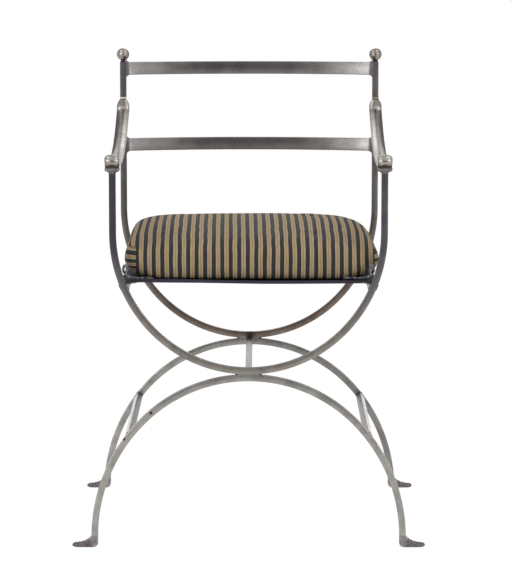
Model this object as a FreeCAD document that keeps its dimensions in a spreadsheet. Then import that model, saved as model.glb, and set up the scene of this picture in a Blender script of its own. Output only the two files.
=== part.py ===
import FreeCAD, Part
import Sketcher
import math
import os
import re

# Rigid steel armchair of the savonarola outline: two upright frames of square bar, each a U that
# stands on an inverted U, joined front to back by stretchers and seat rails. The whole frame leans
# back a little. A striped cushion is tied on a black sling.
# Every outline is drawn in the frame's own upright position: X to the right, Y to the back, Z up,
# with the floor line of the front legs at Z zero and Y zero midway between the two frames.

document = FreeCAD.newDocument("SavonarolaChair")
sheet = document.addObject("Spreadsheet::Sheet", "Sizes")

SIZES = {
    # square bar and the two upright frames
    "bar_width": 12.0,
    "frame_spacing": 450.0,
    "lean_angle": 2.53,
    "crown_half_angle": 45.0,
    "post_half_span": 243.0,
    "u_crown_radius": 239.0,
    "front_post_rise": 110.7,
    "rear_post_rise": 282.2,
    "leg_half_span": 278.5,
    "leg_crown_radius": 269.3,
    # welded joint between each U and its leg arch
    "weld_height": 316.4,
    "weld_gap": 0.4,
    "weld_half_length": 23.5,
    "weld_inset": 0.6,
    # bars that run from the front frame to the rear frame
    "stretcher_angle": 52.4,
    "rail_angle": 23.4,
    # feet, forged out of the ends of the legs
    "foot_sweep_radius": 14.0,
    "toe_thickness": 7.5,
    "toe_reach": 41.0,
    "toe_width": 17.0,
    "toe_corner_radius": 6.0,
    "heel_radius": 5.0,
    # back rails, flat bar bowed to the rear
    "back_rail_height": 24.5,
    "back_rail_thickness": 6.0,
    "back_rail_bow": 36.0,
    "top_rail_drop": 12.5,
    "lower_rail_drop": 159.5,
    # ball finials
    "ball_radius": 12.0,
    "neck_radius": 4.5,
    "neck_height": 3.4,
    # arms, half round bar rolled over at the front
    "arm_width": 24.0,
    "arm_crown": 7.0,
    "arm_edge": 2.6,
    "arm_shoulder": 4.0,
    "arm_bend_radius": 28.0,
    "arm_sweep_radius": 720.0,
    "arm_sweep_angle": 25.0,
    "arm_rise_radius": 36.0,
    "arm_rise_angle": 55.0,
    "arm_roll_radius": 5.0,
    "arm_roll_overhang": 1.0,
    # forged cap between a front post and the roll of its arm
    "cap_width": 27.0,
    "cap_depth": 25.0,
    "cap_thickness": 7.0,
    "cap_corner_radius": 3.0,
    # sling, cushion and ties
    "sling_thickness": 5.0,
    "sling_wrap": 13.0,
    "sling_tie_gap": 3.5,
    "cushion_width": 456.0,
    "cushion_tie_gap": 2.5,
    "cushion_thickness": 78.0,
    "cushion_front_radius": 34.0,
    "cushion_rear_radius": 74.0,
    "cushion_edge_radius": 18.0,
    "soft_clearance": 0.3,
    "tie_width": 8.0,
    "tie_thickness": 1.6,
    "tie_inset": 2.5,
    "tie_rise": 24.0,
    "knot_radius": 4.8,
    # overrun of every cut past the solid that it cuts
    "overrun": 5.0,
}

for row, (alias, size) in enumerate(SIZES.items(), start=1):
    sheet.set(f"A{row}", alias)
    sheet.set(f"B{row}", str(size))
    sheet.setAlias(f"B{row}", alias)
document.recompute()

NAMES = re.compile(r"\b(" + "|".join(SIZES) + r")\b")


def bound(expression):
    """The expression with each size read from the sheet."""
    return NAMES.sub(r"Sizes.\1", expression)


def number(expression):
    """What the expression comes to with the present sizes."""
    return float(sheet.evalExpression(bound(expression)))


# The U of a frame: a crown arc at the bottom, a side arc on each side, then the straight posts. The
# back rails hang from the tops of the rear posts.
U_CROWN_Z = "(weld_height + weld_gap / 2 + bar_width / 2 + u_crown_radius)"
U_SIDE_RADIUS = (
    "((post_half_span - u_crown_radius * sin(crown_half_angle)) / (1 - sin(crown_half_angle)))"
)
U_SIDE_X = f"((u_crown_radius - {U_SIDE_RADIUS}) * sin(crown_half_angle))"
U_SIDE_Z = f"({U_CROWN_Z} - (u_crown_radius - {U_SIDE_RADIUS}) * cos(crown_half_angle))"
FRONT_POST_TOP = f"({U_SIDE_Z} + front_post_rise)"
REAR_POST_TOP = f"({U_SIDE_Z} + rear_post_rise)"
TOP_RAIL_LEVEL = f"({REAR_POST_TOP} - top_rail_drop)"
LOWER_RAIL_LEVEL = f"({REAR_POST_TOP} - lower_rail_drop)"

# The leg arch: the same three arcs upside down, then short straight shanks down to the feet.
LEG_CROWN_Z = "(weld_height - weld_gap / 2 - bar_width / 2 - leg_crown_radius)"
LEG_SIDE_RADIUS = (
    "((leg_half_span - leg_crown_radius * sin(crown_half_angle)) / (1 - sin(crown_half_angle)))"
)
LEG_SIDE_X = f"((leg_crown_radius - {LEG_SIDE_RADIUS}) * sin(crown_half_angle))"
LEG_SIDE_Z = f"({LEG_CROWN_Z} + (leg_crown_radius - {LEG_SIDE_RADIUS}) * cos(crown_half_angle))"

# Centre of the right leg stretcher, on the side arc of the legs, and of the right seat rail, on the
# side arc of the U.
STRETCHER_X = f"({LEG_SIDE_X} + {LEG_SIDE_RADIUS} * sin(stretcher_angle))"
STRETCHER_Z = f"({LEG_SIDE_Z} + {LEG_SIDE_RADIUS} * cos(stretcher_angle))"
RAIL_X = f"({U_SIDE_X} + {U_SIDE_RADIUS} * cos(rail_angle))"
RAIL_Z = f"({U_SIDE_Z} - {U_SIDE_RADIUS} * sin(rail_angle))"

FRAME_HALF = "(frame_spacing / 2)"
FOOT_HEIGHT = "(toe_thickness + foot_sweep_radius)"

# Underside of the arm from the rear post forward, as heights and distances in the side view.
ARM_BACK_Y = f"({FRAME_HALF} - bar_width / 2)"
ROLL_OUTER = "(arm_roll_radius + arm_crown)"
ROLL_Y = f"(-{FRAME_HALF} - bar_width / 2 - arm_roll_overhang)"
ROLL_Z = f"({FRONT_POST_TOP} + cap_thickness + {ROLL_OUTER})"
RISE_END_Y = f"({ROLL_Y} + arm_roll_radius * sin(arm_rise_angle))"
RISE_END_Z = f"({ROLL_Z} + arm_roll_radius * cos(arm_rise_angle))"
RISE_Y = f"({RISE_END_Y} + arm_rise_radius * sin(arm_rise_angle))"
ARM_LEVEL = f"({RISE_END_Z} - arm_rise_radius * (1 - cos(arm_rise_angle)))"
BEND_Y = f"({ARM_BACK_Y} - arm_bend_radius)"
SWEEP_TOP_Y = f"({BEND_Y} + arm_bend_radius * sin(arm_sweep_angle))"
SWEEP_TOP_Z = f"({ARM_LEVEL} + arm_sweep_radius * (1 - cos(arm_sweep_angle)))"
BEND_Z = f"({SWEEP_TOP_Z} + arm_bend_radius * cos(arm_sweep_angle))"
SWEEP_Y = f"({SWEEP_TOP_Y} - arm_sweep_radius * sin(arm_sweep_angle))"
ARM_TOP = f"({BEND_Z} + arm_shoulder)"

# Underside and top of the sling where it lies flat on the upper inner corners of the seat rails.
RAIL_WRAP = "(bar_width / 2 + soft_clearance)"
SLING_LOW = f"({RAIL_Z} + {RAIL_WRAP} * (sin(rail_angle) + cos(rail_angle)))"
SLING_TOP = f"({SLING_LOW} + sling_thickness)"

# The sling and the cushion stop short of the ties, which go round the bare ends of the seat rails.
TIE_SPACE = "(bar_width / 2 + tie_inset + tie_width)"
SLING_HALF_DEPTH = f"({FRAME_HALF} - {TIE_SPACE} - sling_tie_gap)"
CUSHION_HALF_DEPTH = f"({FRAME_HALF} - {TIE_SPACE} - cushion_tie_gap)"

# The chair is centred between its furthest points: the front toes and the bow of the top rail.
FRONT_FOOT_Y = f"(-{FRAME_HALF} + {FOOT_HEIGHT} * tan(lean_angle))"
REAR_FOOT_Y = (
    f"(-{FRAME_HALF} + frame_spacing * cos(lean_angle)"
    f" + ({FOOT_HEIGHT} + frame_spacing * sin(lean_angle)) * tan(lean_angle))"
)
REAR_REACH = (
    f"(-{FRAME_HALF} + (frame_spacing + back_rail_bow + back_rail_thickness / 2) * cos(lean_angle)"
    f" + ({TOP_RAIL_LEVEL} + back_rail_height / 2) * sin(lean_angle))"
)
FRONT_REACH = f"({FRONT_FOOT_Y} - toe_width / 2)"
SHIFT = f"(({REAR_REACH} + {FRONT_REACH}) / 2)"


def new_body(label):
    """An empty body whose label is the name of the piece."""
    body = document.addObject("PartDesign::Body", label)
    body.Label = label
    return body


def plane_of(body, role):
    """One of the body's own origin planes."""
    return next(feature for feature in body.Origin.OriginFeatures if feature.Role == role)


def arc_about(start, end, centre, turn):
    """The arc from start to end about centre, anticlockwise when turn is 1."""
    first, last = (start, end) if turn > 0 else (end, start)
    begin = math.atan2(first.y - centre.y, first.x - centre.x)
    finish = math.atan2(last.y - centre.y, last.x - centre.x)
    if finish <= begin:
        finish += 2 * math.pi
    circle = Part.Circle(centre, FreeCAD.Vector(0, 0, 1), (first - centre).Length)
    return Part.ArcOfCircle(circle, begin, finish)


def draw(body, role, loops, offset="0", closed=True):
    """A sketch of loops. A loop lists its corners, each with the edge that leaves it: nothing for a
    straight edge, or (centre x, centre y, radius, turn) for an arc."""
    sketch = body.newObject("Sketcher::SketchObject", body.Label + "_outline")
    sketch.AttachmentSupport = [(plane_of(body, role), "")]
    sketch.MapMode = "FlatFace"
    sketch.setExpression(".AttachmentOffset.Base.z", bound(offset))
    for loop in loops:
        points = [FreeCAD.Vector(number(corner[0]), number(corner[1]), 0) for corner in loop]
        edges = []
        for place, corner in enumerate(loop if closed else loop[:-1]):
            after = (place + 1) % len(loop)
            if len(corner) == 2:
                shape = Part.LineSegment(points[place], points[after])
                edges.append((sketch.addGeometry(shape, False), 1, 2))
                continue
            centre_x, centre_y, radius, turn = corner[2]
            centre = FreeCAD.Vector(number(centre_x), number(centre_y), 0)
            shape = arc_about(points[place], points[after], centre, turn)
            index = sketch.addGeometry(shape, False)
            edges.append((index, 1, 2) if turn > 0 else (index, 2, 1))
            limit = sketch.addConstraint(Sketcher.Constraint("Radius", index, number(radius)))
            sketch.setExpression(f"Constraints[{limit}]", bound(radius))
        for place, corner in enumerate(loop):
            last = place == len(edges)
            index, start, end = edges[place - 1] if last else edges[place]
            vertex = end if last else start
            for kind, size in (("DistanceX", corner[0]), ("DistanceY", corner[1])):
                rule = Sketcher.Constraint(kind, -1, 1, index, vertex, number(size))
                limit = sketch.addConstraint(rule)
                sketch.setExpression(f"Constraints[{limit}]", bound(size))
        for place, (index, start, end) in enumerate(edges):
            if not closed and place == len(edges) - 1:
                continue
            follower, follower_start, _ = edges[(place + 1) % len(edges)]
            sketch.addConstraint(Sketcher.Constraint("Coincident", index, end, follower, follower_start))
    return sketch


def pad(body, sketch, length, symmetric=True):
    """The sketch given a thickness, half to each side or all along its normal."""
    feature = body.newObject("PartDesign::Pad", body.Label + "_pad")
    feature.Profile = sketch
    feature.SideType = "Symmetric" if symmetric else "One side"
    feature.setExpression("Length", bound(length))
    return feature


def cut(body, sketch, length):
    """A pocket, half of its length to each side of the sketch."""
    feature = body.newObject("PartDesign::Pocket", body.Label + "_cut")
    feature.Profile = sketch
    feature.SideType = "Symmetric"
    feature.setExpression("Length", bound(length))
    return feature


def lean(body, side="0", back="0", up="0"):
    """Set the body in the leaning frame, its own origin at the given point of that frame."""
    along = (
        f"-{FRAME_HALF} + (({back}) + {FRAME_HALF}) * cos(lean_angle)"
        f" + ({up}) * sin(lean_angle) - {SHIFT}"
    )
    height = f"-(({back}) + {FRAME_HALF}) * sin(lean_angle) + ({up}) * cos(lean_angle)"
    turn = "rotation(vector(1; 0; 0); -lean_angle)"
    body.setExpression("Placement", bound(f"placement(vector({side}; {along}; {height}); {turn})"))


def bar_loop(crown_z, side_x, side_z, crown_radius, side_radius, half_span, end, sign):
    """Outline of a square bar bent to three arcs with straight ends; sign 1 is a U, -1 an arch.
    The outer edge runs from left to right, then the inner edge comes back."""
    loop = []
    for grow, hand in (("+", 1), ("-", -1)):
        crown = f"({crown_radius} {grow} bar_width / 2)"
        flank = f"({side_radius} {grow} bar_width / 2)"
        reach = f"({half_span} {grow} bar_width / 2)"
        joint_x = f"{crown} * sin(crown_half_angle)"
        joint_z = f"{crown_z} - {sign} * {crown} * cos(crown_half_angle)"
        near_x, far_x = (f"-({side_x})", f"{side_x}") if hand > 0 else (f"{side_x}", f"-({side_x})")
        before, after = ("-", "") if hand > 0 else ("", "-")
        spin = hand * sign
        loop += [
            (f"{before}{reach}", end),
            (f"{before}{reach}", side_z, (near_x, side_z, flank, spin)),
            (f"{before}{joint_x}", joint_z, ("0", crown_z, crown, spin)),
            (f"{after}{joint_x}", joint_z, (far_x, side_z, flank, spin)),
            (f"{after}{reach}", side_z),
            (f"{after}{reach}", end),
        ]
    return loop


def u_frame(label, post_top, offset):
    """One bar bent to a U whose two ends are the posts."""
    body = new_body(label)
    loop = bar_loop(U_CROWN_Z, U_SIDE_X, U_SIDE_Z, "u_crown_radius", U_SIDE_RADIUS,
                    "post_half_span", post_top, 1)
    pad(body, draw(body, "XZ_Plane", [loop], offset), "bar_width")
    lean(body)


def leg_arch(label, offset):
    """One bar bent to an arch whose two ends are the legs, cut level above the feet."""
    body = new_body(label)
    loop = bar_loop(LEG_CROWN_Z, LEG_SIDE_X, LEG_SIDE_Z, "leg_crown_radius", LEG_SIDE_RADIUS,
                    "leg_half_span", "0", -1)
    pad(body, draw(body, "XZ_Plane", [loop], offset), "bar_width")
    reach = "frame_spacing"
    rear_level = f"({FOOT_HEIGHT} + ({reach} + {FRAME_HALF}) * sin(lean_angle)) / cos(lean_angle)"
    front_level = f"({FOOT_HEIGHT} - ({reach} - {FRAME_HALF}) * sin(lean_angle)) / cos(lean_angle)"
    below = f"-overrun - {reach}"
    level = [(f"-{reach}", below), (reach, below), (reach, rear_level), (f"-{reach}", front_level)]
    cut(body, draw(body, "YZ_Plane", [level]), "2 * (leg_half_span + bar_width)")
    lean(body)


def joint_weld(label, offset):
    """Weld metal in the narrow gap between the bottom of a U and the top of its leg arch."""
    body = new_body(label)
    u_outer = "(u_crown_radius + bar_width / 2)"
    leg_outer = "(leg_crown_radius + bar_width / 2)"
    upper = f"{U_CROWN_Z} - sqrt({u_outer} ^ 2 - weld_half_length ^ 2)"
    lower = f"{LEG_CROWN_Z} + sqrt({leg_outer} ^ 2 - weld_half_length ^ 2)"
    loop = [
        ("-weld_half_length", upper, ("0", U_CROWN_Z, u_outer, 1)),
        ("weld_half_length", upper),
        ("weld_half_length", lower, ("0", LEG_CROWN_Z, leg_outer, 1)),
        ("-weld_half_length", lower),
    ]
    pad(body, draw(body, "XZ_Plane", [loop], offset), "bar_width - 2 * weld_inset")
    lean(body)


def cross_bar(label, centre_x, centre_z, angle, hand):
    """A square bar from frame to frame, turned so that its faces follow the bar it meets."""
    body = new_body(label)
    half = "bar_width / 2"
    corners = []
    for across, along in ((-1, -1), (1, -1), (1, 1), (-1, 1)):
        shift_x = f"{half} * ({across} * cos({angle}) + {along} * sin({angle}))"
        shift_z = f"{half} * ({along} * cos({angle}) - {across} * sin({angle}))"
        corners.append((f"{hand} * ({centre_x} + {shift_x})", f"{centre_z} + {shift_z}"))
    pad(body, draw(body, "XZ_Plane", [corners]), "frame_spacing - bar_width")
    lean(body)


def leg_reach(level):
    """How far the middle of a leg stands from the centre at a level of the leaning frame."""
    above = f"max(0; ({level}) / cos(lean_angle) - {LEG_SIDE_Z})"
    return f"({LEG_SIDE_X} + sqrt({LEG_SIDE_RADIUS} ^ 2 - {above} ^ 2))"


def foot(label, side, along, turn):
    """The end of a leg bent outwards into a flat toe, with a rounded heel."""
    body = new_body(label)
    half = "bar_width / 2"
    tip = "toe_thickness / 2"
    profile = [
        (f"-{half}", FOOT_HEIGHT),
        (f"-{half}", "heel_radius", (f"-{half} + heel_radius", "heel_radius", "heel_radius", 1)),
        (f"-{half} + heel_radius", "0"),
        (f"toe_reach - {tip}", "0", (f"toe_reach - {tip}", tip, tip, 1)),
        ("toe_reach", tip, (f"toe_reach - {tip}", tip, tip, 1)),
        (f"toe_reach - {tip}", "toe_thickness"),
        (f"{half} + foot_sweep_radius", "toe_thickness",
         (f"{half} + foot_sweep_radius", FOOT_HEIGHT, "foot_sweep_radius", -1)),
        (half, FOOT_HEIGHT),
    ]
    pad(body, draw(body, "XZ_Plane", [profile]), "toe_width")
    loops = []
    for hand in (1, -1):
        wide = f"{hand} * toe_width / 2"
        inner = f"{hand} * (toe_width / 2 - toe_corner_radius)"
        outside = f"{hand} * (toe_width / 2 + overrun)"
        loops.append([
            (f"-{half} - overrun", f"{hand} * {half}"),
            (half, f"{hand} * {half}"),
            ("toe_reach - 2 * toe_corner_radius", wide),
            ("toe_reach - toe_corner_radius", wide,
             ("toe_reach - toe_corner_radius", inner, "toe_corner_radius", -hand)),
            ("toe_reach", inner),
            ("toe_reach + overrun", inner),
            ("toe_reach + overrun", outside),
            (f"-{half} - overrun", outside),
        ])
    cut(body, draw(body, "XY_Plane", loops), f"2 * {FOOT_HEIGHT} + overrun")
    spin = f"rotation(vector(0; 0; 1); {turn})"
    body.setExpression("Placement", bound(f"placement(vector({side}; {along} - {SHIFT}; 0); {spin})"))


def back_rail(label, level):
    """A flat bar on edge between the rear posts, bowed to the rear in plan."""
    body = new_body(label)
    half_span = "(post_half_span - bar_width / 2)"
    mid_radius = f"(({half_span} ^ 2 + back_rail_bow ^ 2) / (2 * back_rail_bow))"
    centre_y = f"({FRAME_HALF} + back_rail_bow - {mid_radius})"
    outer = f"({mid_radius} + back_rail_thickness / 2)"
    inner = f"({mid_radius} - back_rail_thickness / 2)"
    outer_y = f"{centre_y} + sqrt({outer} ^ 2 - {half_span} ^ 2)"
    inner_y = f"{centre_y} + sqrt({inner} ^ 2 - {half_span} ^ 2)"
    loop = [
        (half_span, outer_y, ("0", centre_y, outer, 1)),
        (f"-{half_span}", outer_y),
        (f"-{half_span}", inner_y, ("0", centre_y, inner, -1)),
        (half_span, inner_y),
    ]
    pad(body, draw(body, "XY_Plane", [loop], level), "back_rail_height")
    lean(body)


def finial(label, side):
    """A turned ball on a short neck, on top of a rear post."""
    body = new_body(label)
    meet = "sqrt(ball_radius ^ 2 - neck_radius ^ 2)"
    centre = f"neck_height + {meet}"
    loop = [
        ("0", "0"),
        ("neck_radius", "0"),
        ("neck_radius", "neck_height", ("0", centre, "ball_radius", 1)),
        ("0", f"{centre} + ball_radius"),
    ]
    sketch = draw(body, "XZ_Plane", [loop])
    feature = body.newObject("PartDesign::Revolution", label + "_turned")
    feature.Profile = sketch
    feature.ReferenceAxis = (sketch, ["V_Axis"])
    feature.Angle = 360
    lean(body, side, FRAME_HALF, REAR_POST_TOP)


def arm(label, side):
    """Half round bar that leaves the rear post, sweeps forward and down, and rolls over in front."""
    body = new_body(label)
    roll_low = f"{ROLL_Z} - arm_roll_radius"
    sweep_z = f"{ARM_LEVEL} + arm_sweep_radius"
    rise_z = f"{ARM_LEVEL} + arm_rise_radius"
    path = draw(body, "YZ_Plane", [[
        (ARM_BACK_Y, ARM_TOP),
        (ARM_BACK_Y, BEND_Z, (BEND_Y, BEND_Z, "arm_bend_radius", -1)),
        (SWEEP_TOP_Y, SWEEP_TOP_Z, (SWEEP_Y, sweep_z, "arm_sweep_radius", -1)),
        (SWEEP_Y, ARM_LEVEL),
        (RISE_Y, ARM_LEVEL, (RISE_Y, rise_z, "arm_rise_radius", -1)),
        (RISE_END_Y, RISE_END_Z, (ROLL_Y, ROLL_Z, "arm_roll_radius", 1)),
        (ROLL_Y, roll_low),
    ]], closed=False)
    half = "(arm_width / 2)"
    rise = "(arm_crown - arm_edge)"
    crown_radius = f"(({half} ^ 2 + {rise} ^ 2) / (2 * {rise}))"
    edge_y = f"{ARM_BACK_Y} - arm_edge"
    section = draw(body, "XY_Plane", [[
        (half, ARM_BACK_Y),
        (f"-{half}", ARM_BACK_Y),
        (f"-{half}", edge_y, ("0", f"{ARM_BACK_Y} - arm_crown + {crown_radius}", crown_radius, 1)),
        (half, edge_y),
    ]], ARM_TOP)
    feature = body.newObject("PartDesign::AdditivePipe", label + "_sweep")
    feature.Profile = section
    feature.Spine = (path, [])
    shoulder_z = f"{ARM_TOP} - {half}"
    shoulder = draw(body, "XZ_Plane", [[
        (half, shoulder_z, ("0", shoulder_z, half, 1)),
        ("0", ARM_TOP, ("0", shoulder_z, half, 1)),
        (f"-{half}", shoulder_z),
        (f"-{half} - overrun", shoulder_z),
        (f"-{half} - overrun", f"{ARM_TOP} + overrun"),
        (f"{half} + overrun", f"{ARM_TOP} + overrun"),
        (f"{half} + overrun", shoulder_z),
    ]])
    cut(body, shoulder, "2 * frame_spacing")
    lean(body, side)


def rounded_loop(width, front, rear, front_radius, rear_radius):
    """A rectangle with one corner radius in front and another at the rear."""
    half = f"({width} / 2)"
    return [
        (f"-{half} + {front_radius}", front),
        (f"{half} - {front_radius}", front,
         (f"{half} - {front_radius}", f"{front} + {front_radius}", front_radius, 1)),
        (half, f"{front} + {front_radius}"),
        (half, f"{rear} - {rear_radius}",
         (f"{half} - {rear_radius}", f"{rear} - {rear_radius}", rear_radius, 1)),
        (f"{half} - {rear_radius}", rear),
        (f"-{half} + {rear_radius}", rear,
         (f"-{half} + {rear_radius}", f"{rear} - {rear_radius}", rear_radius, 1)),
        (f"-{half}", f"{rear} - {rear_radius}"),
        (f"-{half}", f"{front} + {front_radius}",
         (f"-{half} + {front_radius}", f"{front} + {front_radius}", front_radius, 1)),
    ]


def arm_cap(label, side):
    """A forged cap on top of a front post, under the roll of the arm."""
    body = new_body(label)
    loop = rounded_loop("cap_width", "(-cap_depth / 2)", "(cap_depth / 2)", "cap_corner_radius",
                        "cap_corner_radius")
    pad(body, draw(body, "XY_Plane", [loop]), "cap_thickness", symmetric=False)
    lean(body, side, f"-{FRAME_HALF}", FRONT_POST_TOP)


def sling():
    """A taut black seat sheet whose ends turn down over the outer faces of the seat rails."""
    body = new_body("seat_sling")
    corner_x = f"({RAIL_X} + {RAIL_WRAP} * (sin(rail_angle) - cos(rail_angle)))"
    edge_x = f"({RAIL_X} + {RAIL_WRAP} * (sin(rail_angle) + cos(rail_angle)))"
    edge_z = f"({RAIL_Z} + {RAIL_WRAP} * (cos(rail_angle) - sin(rail_angle)))"
    hem_x = f"({edge_x} - sling_wrap * sin(rail_angle))"
    hem_z = f"({edge_z} - sling_wrap * cos(rail_angle))"
    thick_x = "sling_thickness * cos(rail_angle)"
    thick_z = "sling_thickness * sin(rail_angle)"
    over_x = f"({edge_x} + {thick_x} + {thick_z})"
    over_z = f"({edge_z} + {thick_x} - {thick_z})"
    mitre_x = f"({corner_x} + sling_thickness * tan(rail_angle / 2))"
    loop = [
        (f"-{corner_x}", SLING_LOW),
        (corner_x, SLING_LOW),
        (edge_x, edge_z),
        (hem_x, hem_z),
        (f"({hem_x} + {thick_x})", f"{hem_z} - {thick_z}"),
        (over_x, over_z),
        (mitre_x, SLING_TOP),
        (f"-{mitre_x}", SLING_TOP),
        (f"-{over_x}", over_z),
        (f"-({hem_x} + {thick_x})", f"{hem_z} - {thick_z}"),
        (f"-{hem_x}", hem_z),
        (f"-{edge_x}", edge_z),
    ]
    pad(body, draw(body, "XZ_Plane", [loop]), f"2 * {SLING_HALF_DEPTH}")
    lean(body)


def cushion():
    """A box cushion with rounded plan corners and rounded long edges."""
    body = new_body("cushion")
    loop = rounded_loop("cushion_width", f"(-{CUSHION_HALF_DEPTH})", CUSHION_HALF_DEPTH,
                        "cushion_front_radius", "cushion_rear_radius")
    sketch = draw(body, "XY_Plane", [loop], f"{SLING_TOP} + soft_clearance")
    block = pad(body, sketch, "cushion_thickness", symmetric=False)
    document.recompute()
    low = number(f"{SLING_TOP} + soft_clearance")
    high = low + number("cushion_thickness")
    level = 0.01 * number("soft_clearance")
    rims = []
    for index, edge in enumerate(block.Shape.Edges, start=1):
        box = edge.BoundBox
        flat = box.ZLength < level
        if flat and (abs(box.ZMin - low) < level or abs(box.ZMin - high) < level):
            rims.append(f"Edge{index}")
    rounding = body.newObject("PartDesign::Fillet", "cushion_rounding")
    rounding.Base = (block, rims)
    rounding.setExpression("Radius", bound("cushion_edge_radius"))
    lean(body)


def tie(label, hand, end):
    """A ribbon looped round a seat rail beside the frame, with its knot at the cushion's corner."""
    body = new_body(label)
    outer = f"({RAIL_WRAP} + tie_thickness)"
    loops = []
    for half in (outer, RAIL_WRAP):
        corners = []
        for across, along in ((-1, -1), (1, -1), (1, 1), (-1, 1)):
            shift_x = f"{half} * ({across} * cos(rail_angle) + {along} * sin(rail_angle))"
            shift_z = f"{half} * ({along} * cos(rail_angle) - {across} * sin(rail_angle))"
            corners.append((f"{hand} * ({RAIL_X} + {shift_x})", f"{RAIL_Z} + {shift_z}"))
        loops.append(corners)
    middle = f"{end} * ({FRAME_HALF} - {TIE_SPACE} + tie_width / 2)"
    pad(body, draw(body, "XZ_Plane", loops, f"-({middle})"), "tie_width")
    root_x = f"({RAIL_X} + {outer} * sin(rail_angle) - tie_thickness / 2)"
    root_z = f"({RAIL_Z} + {RAIL_WRAP} * cos(rail_angle))"
    top_z = f"({root_z} + tie_rise)"
    strap = [
        (f"{hand} * {root_x}", root_z),
        (f"{hand} * ({root_x} + tie_thickness)", root_z),
        (f"{hand} * ({root_x} + tie_thickness)", top_z),
        (f"{hand} * {root_x}", top_z),
    ]
    pad(body, draw(body, "XZ_Plane", [strap], f"-({middle})"), "tie_width")
    knot = body.newObject("PartDesign::AdditiveSphere", label + "_knot")
    knot.setExpression("Radius", bound("knot_radius"))
    knot.AttachmentSupport = [(plane_of(body, "XY_Plane"), "")]
    knot.MapMode = "FlatFace"
    place = f"vector({hand} * ({root_x} + tie_thickness / 2); {middle}; {top_z})"
    knot.setExpression("AttachmentOffset", bound(f"placement({place}; rotation(vector(0; 0; 1); 0))"))
    lean(body)


u_frame("front_u_frame", FRONT_POST_TOP, FRAME_HALF)
u_frame("rear_u_frame", REAR_POST_TOP, f"-{FRAME_HALF}")
leg_arch("front_leg_arch", FRAME_HALF)
leg_arch("rear_leg_arch", f"-{FRAME_HALF}")
joint_weld("front_joint_weld", FRAME_HALF)
joint_weld("rear_joint_weld", f"-{FRAME_HALF}")

CENTRE_Z = "(weld_height - weld_gap / 2 - bar_width / 2)"
cross_bar("centre_stretcher", "0", CENTRE_Z, "0", 1)
for name, hand in (("left", -1), ("right", 1)):
    cross_bar(name + "_leg_stretcher", STRETCHER_X, STRETCHER_Z, "stretcher_angle", hand)
    cross_bar(name + "_seat_rail", RAIL_X, RAIL_Z, "rail_angle", hand)
    finial(name + "_finial", f"{hand} * post_half_span")
    arm(name + "_arm", f"{hand} * post_half_span")
    arm_cap(name + "_arm_cap", f"{hand} * post_half_span")
    turn = 0 if hand > 0 else 180
    front_x = leg_reach(FOOT_HEIGHT)
    rear_x = leg_reach(f"{FOOT_HEIGHT} + frame_spacing * sin(lean_angle)")
    foot(f"front_{name}_foot", f"{hand} * {front_x}", FRONT_FOOT_Y, turn)
    foot(f"rear_{name}_foot", f"{hand} * {rear_x}", REAR_FOOT_Y, turn)
    tie(f"front_{name}_tie", hand, -1)
    tie(f"rear_{name}_tie", hand, 1)

back_rail("top_back_rail", TOP_RAIL_LEVEL)
back_rail("lower_back_rail", LOWER_RAIL_LEVEL)
sling()
cushion()

document.recompute()

faults = [
    item.Label for item in document.Objects
    if "Invalid" in item.State or "Error" in item.State
]
bodies = [item for item in document.Objects if item.isDerivedFrom("PartDesign::Body")]
for body in bodies:
    if body.Shape.isNull() or not body.Shape.isValid() or not body.Shape.Solids:
        faults.append(body.Label)
if faults:
    raise RuntimeError("these pieces failed: " + ", ".join(sorted(set(faults))))

os.makedirs("parts", exist_ok=True)
for body in bodies:
    body.Shape.exportStep(f"parts/{body.Label}.step")
    box = body.Shape.BoundBox
    print(f"{body.Label}: {len(body.Shape.Solids)} solid, {body.Shape.Volume:.0f} mm3,"
          f" x {box.XMin:.1f} {box.XMax:.1f}, y {box.YMin:.1f} {box.YMax:.1f},"
          f" z {box.ZMin:.1f} {box.ZMax:.1f}")
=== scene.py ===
import math

import bpy
import numpy as np
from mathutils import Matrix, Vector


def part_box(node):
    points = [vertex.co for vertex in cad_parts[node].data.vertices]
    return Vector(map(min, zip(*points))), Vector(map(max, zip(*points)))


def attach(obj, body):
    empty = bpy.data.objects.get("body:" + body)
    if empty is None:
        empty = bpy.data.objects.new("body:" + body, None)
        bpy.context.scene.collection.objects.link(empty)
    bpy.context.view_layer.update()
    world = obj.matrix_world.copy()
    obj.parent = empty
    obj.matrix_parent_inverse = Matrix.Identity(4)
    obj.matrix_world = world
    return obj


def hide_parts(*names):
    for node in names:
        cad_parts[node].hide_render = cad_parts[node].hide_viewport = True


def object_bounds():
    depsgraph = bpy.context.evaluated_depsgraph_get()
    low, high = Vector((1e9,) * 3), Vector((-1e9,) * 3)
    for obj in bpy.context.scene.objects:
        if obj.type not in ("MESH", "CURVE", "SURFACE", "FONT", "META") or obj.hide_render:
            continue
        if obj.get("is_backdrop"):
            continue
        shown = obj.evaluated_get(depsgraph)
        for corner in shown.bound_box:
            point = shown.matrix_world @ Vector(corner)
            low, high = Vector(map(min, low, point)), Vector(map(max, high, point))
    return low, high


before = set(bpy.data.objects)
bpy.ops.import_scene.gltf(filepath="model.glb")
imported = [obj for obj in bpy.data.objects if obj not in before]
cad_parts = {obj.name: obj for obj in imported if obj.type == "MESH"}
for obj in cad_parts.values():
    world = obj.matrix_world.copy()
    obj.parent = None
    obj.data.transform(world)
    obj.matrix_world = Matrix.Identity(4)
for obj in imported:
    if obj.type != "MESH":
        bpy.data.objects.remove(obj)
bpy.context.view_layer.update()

# Camera. A long lens from a little above the arms, tipped down at the chair; the focal length is
# given in pixels of the 578 pixel high picture.
CAMERA_PLACE = (0.0175, -5.4087, 1.3798)
CAMERA_TIP = math.radians(9.975)
CAMERA_TURN = 0.0008
FOCAL_PIXELS = 2930
IMAGE_HEIGHT = 578
SENSOR_MM = 36

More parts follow.
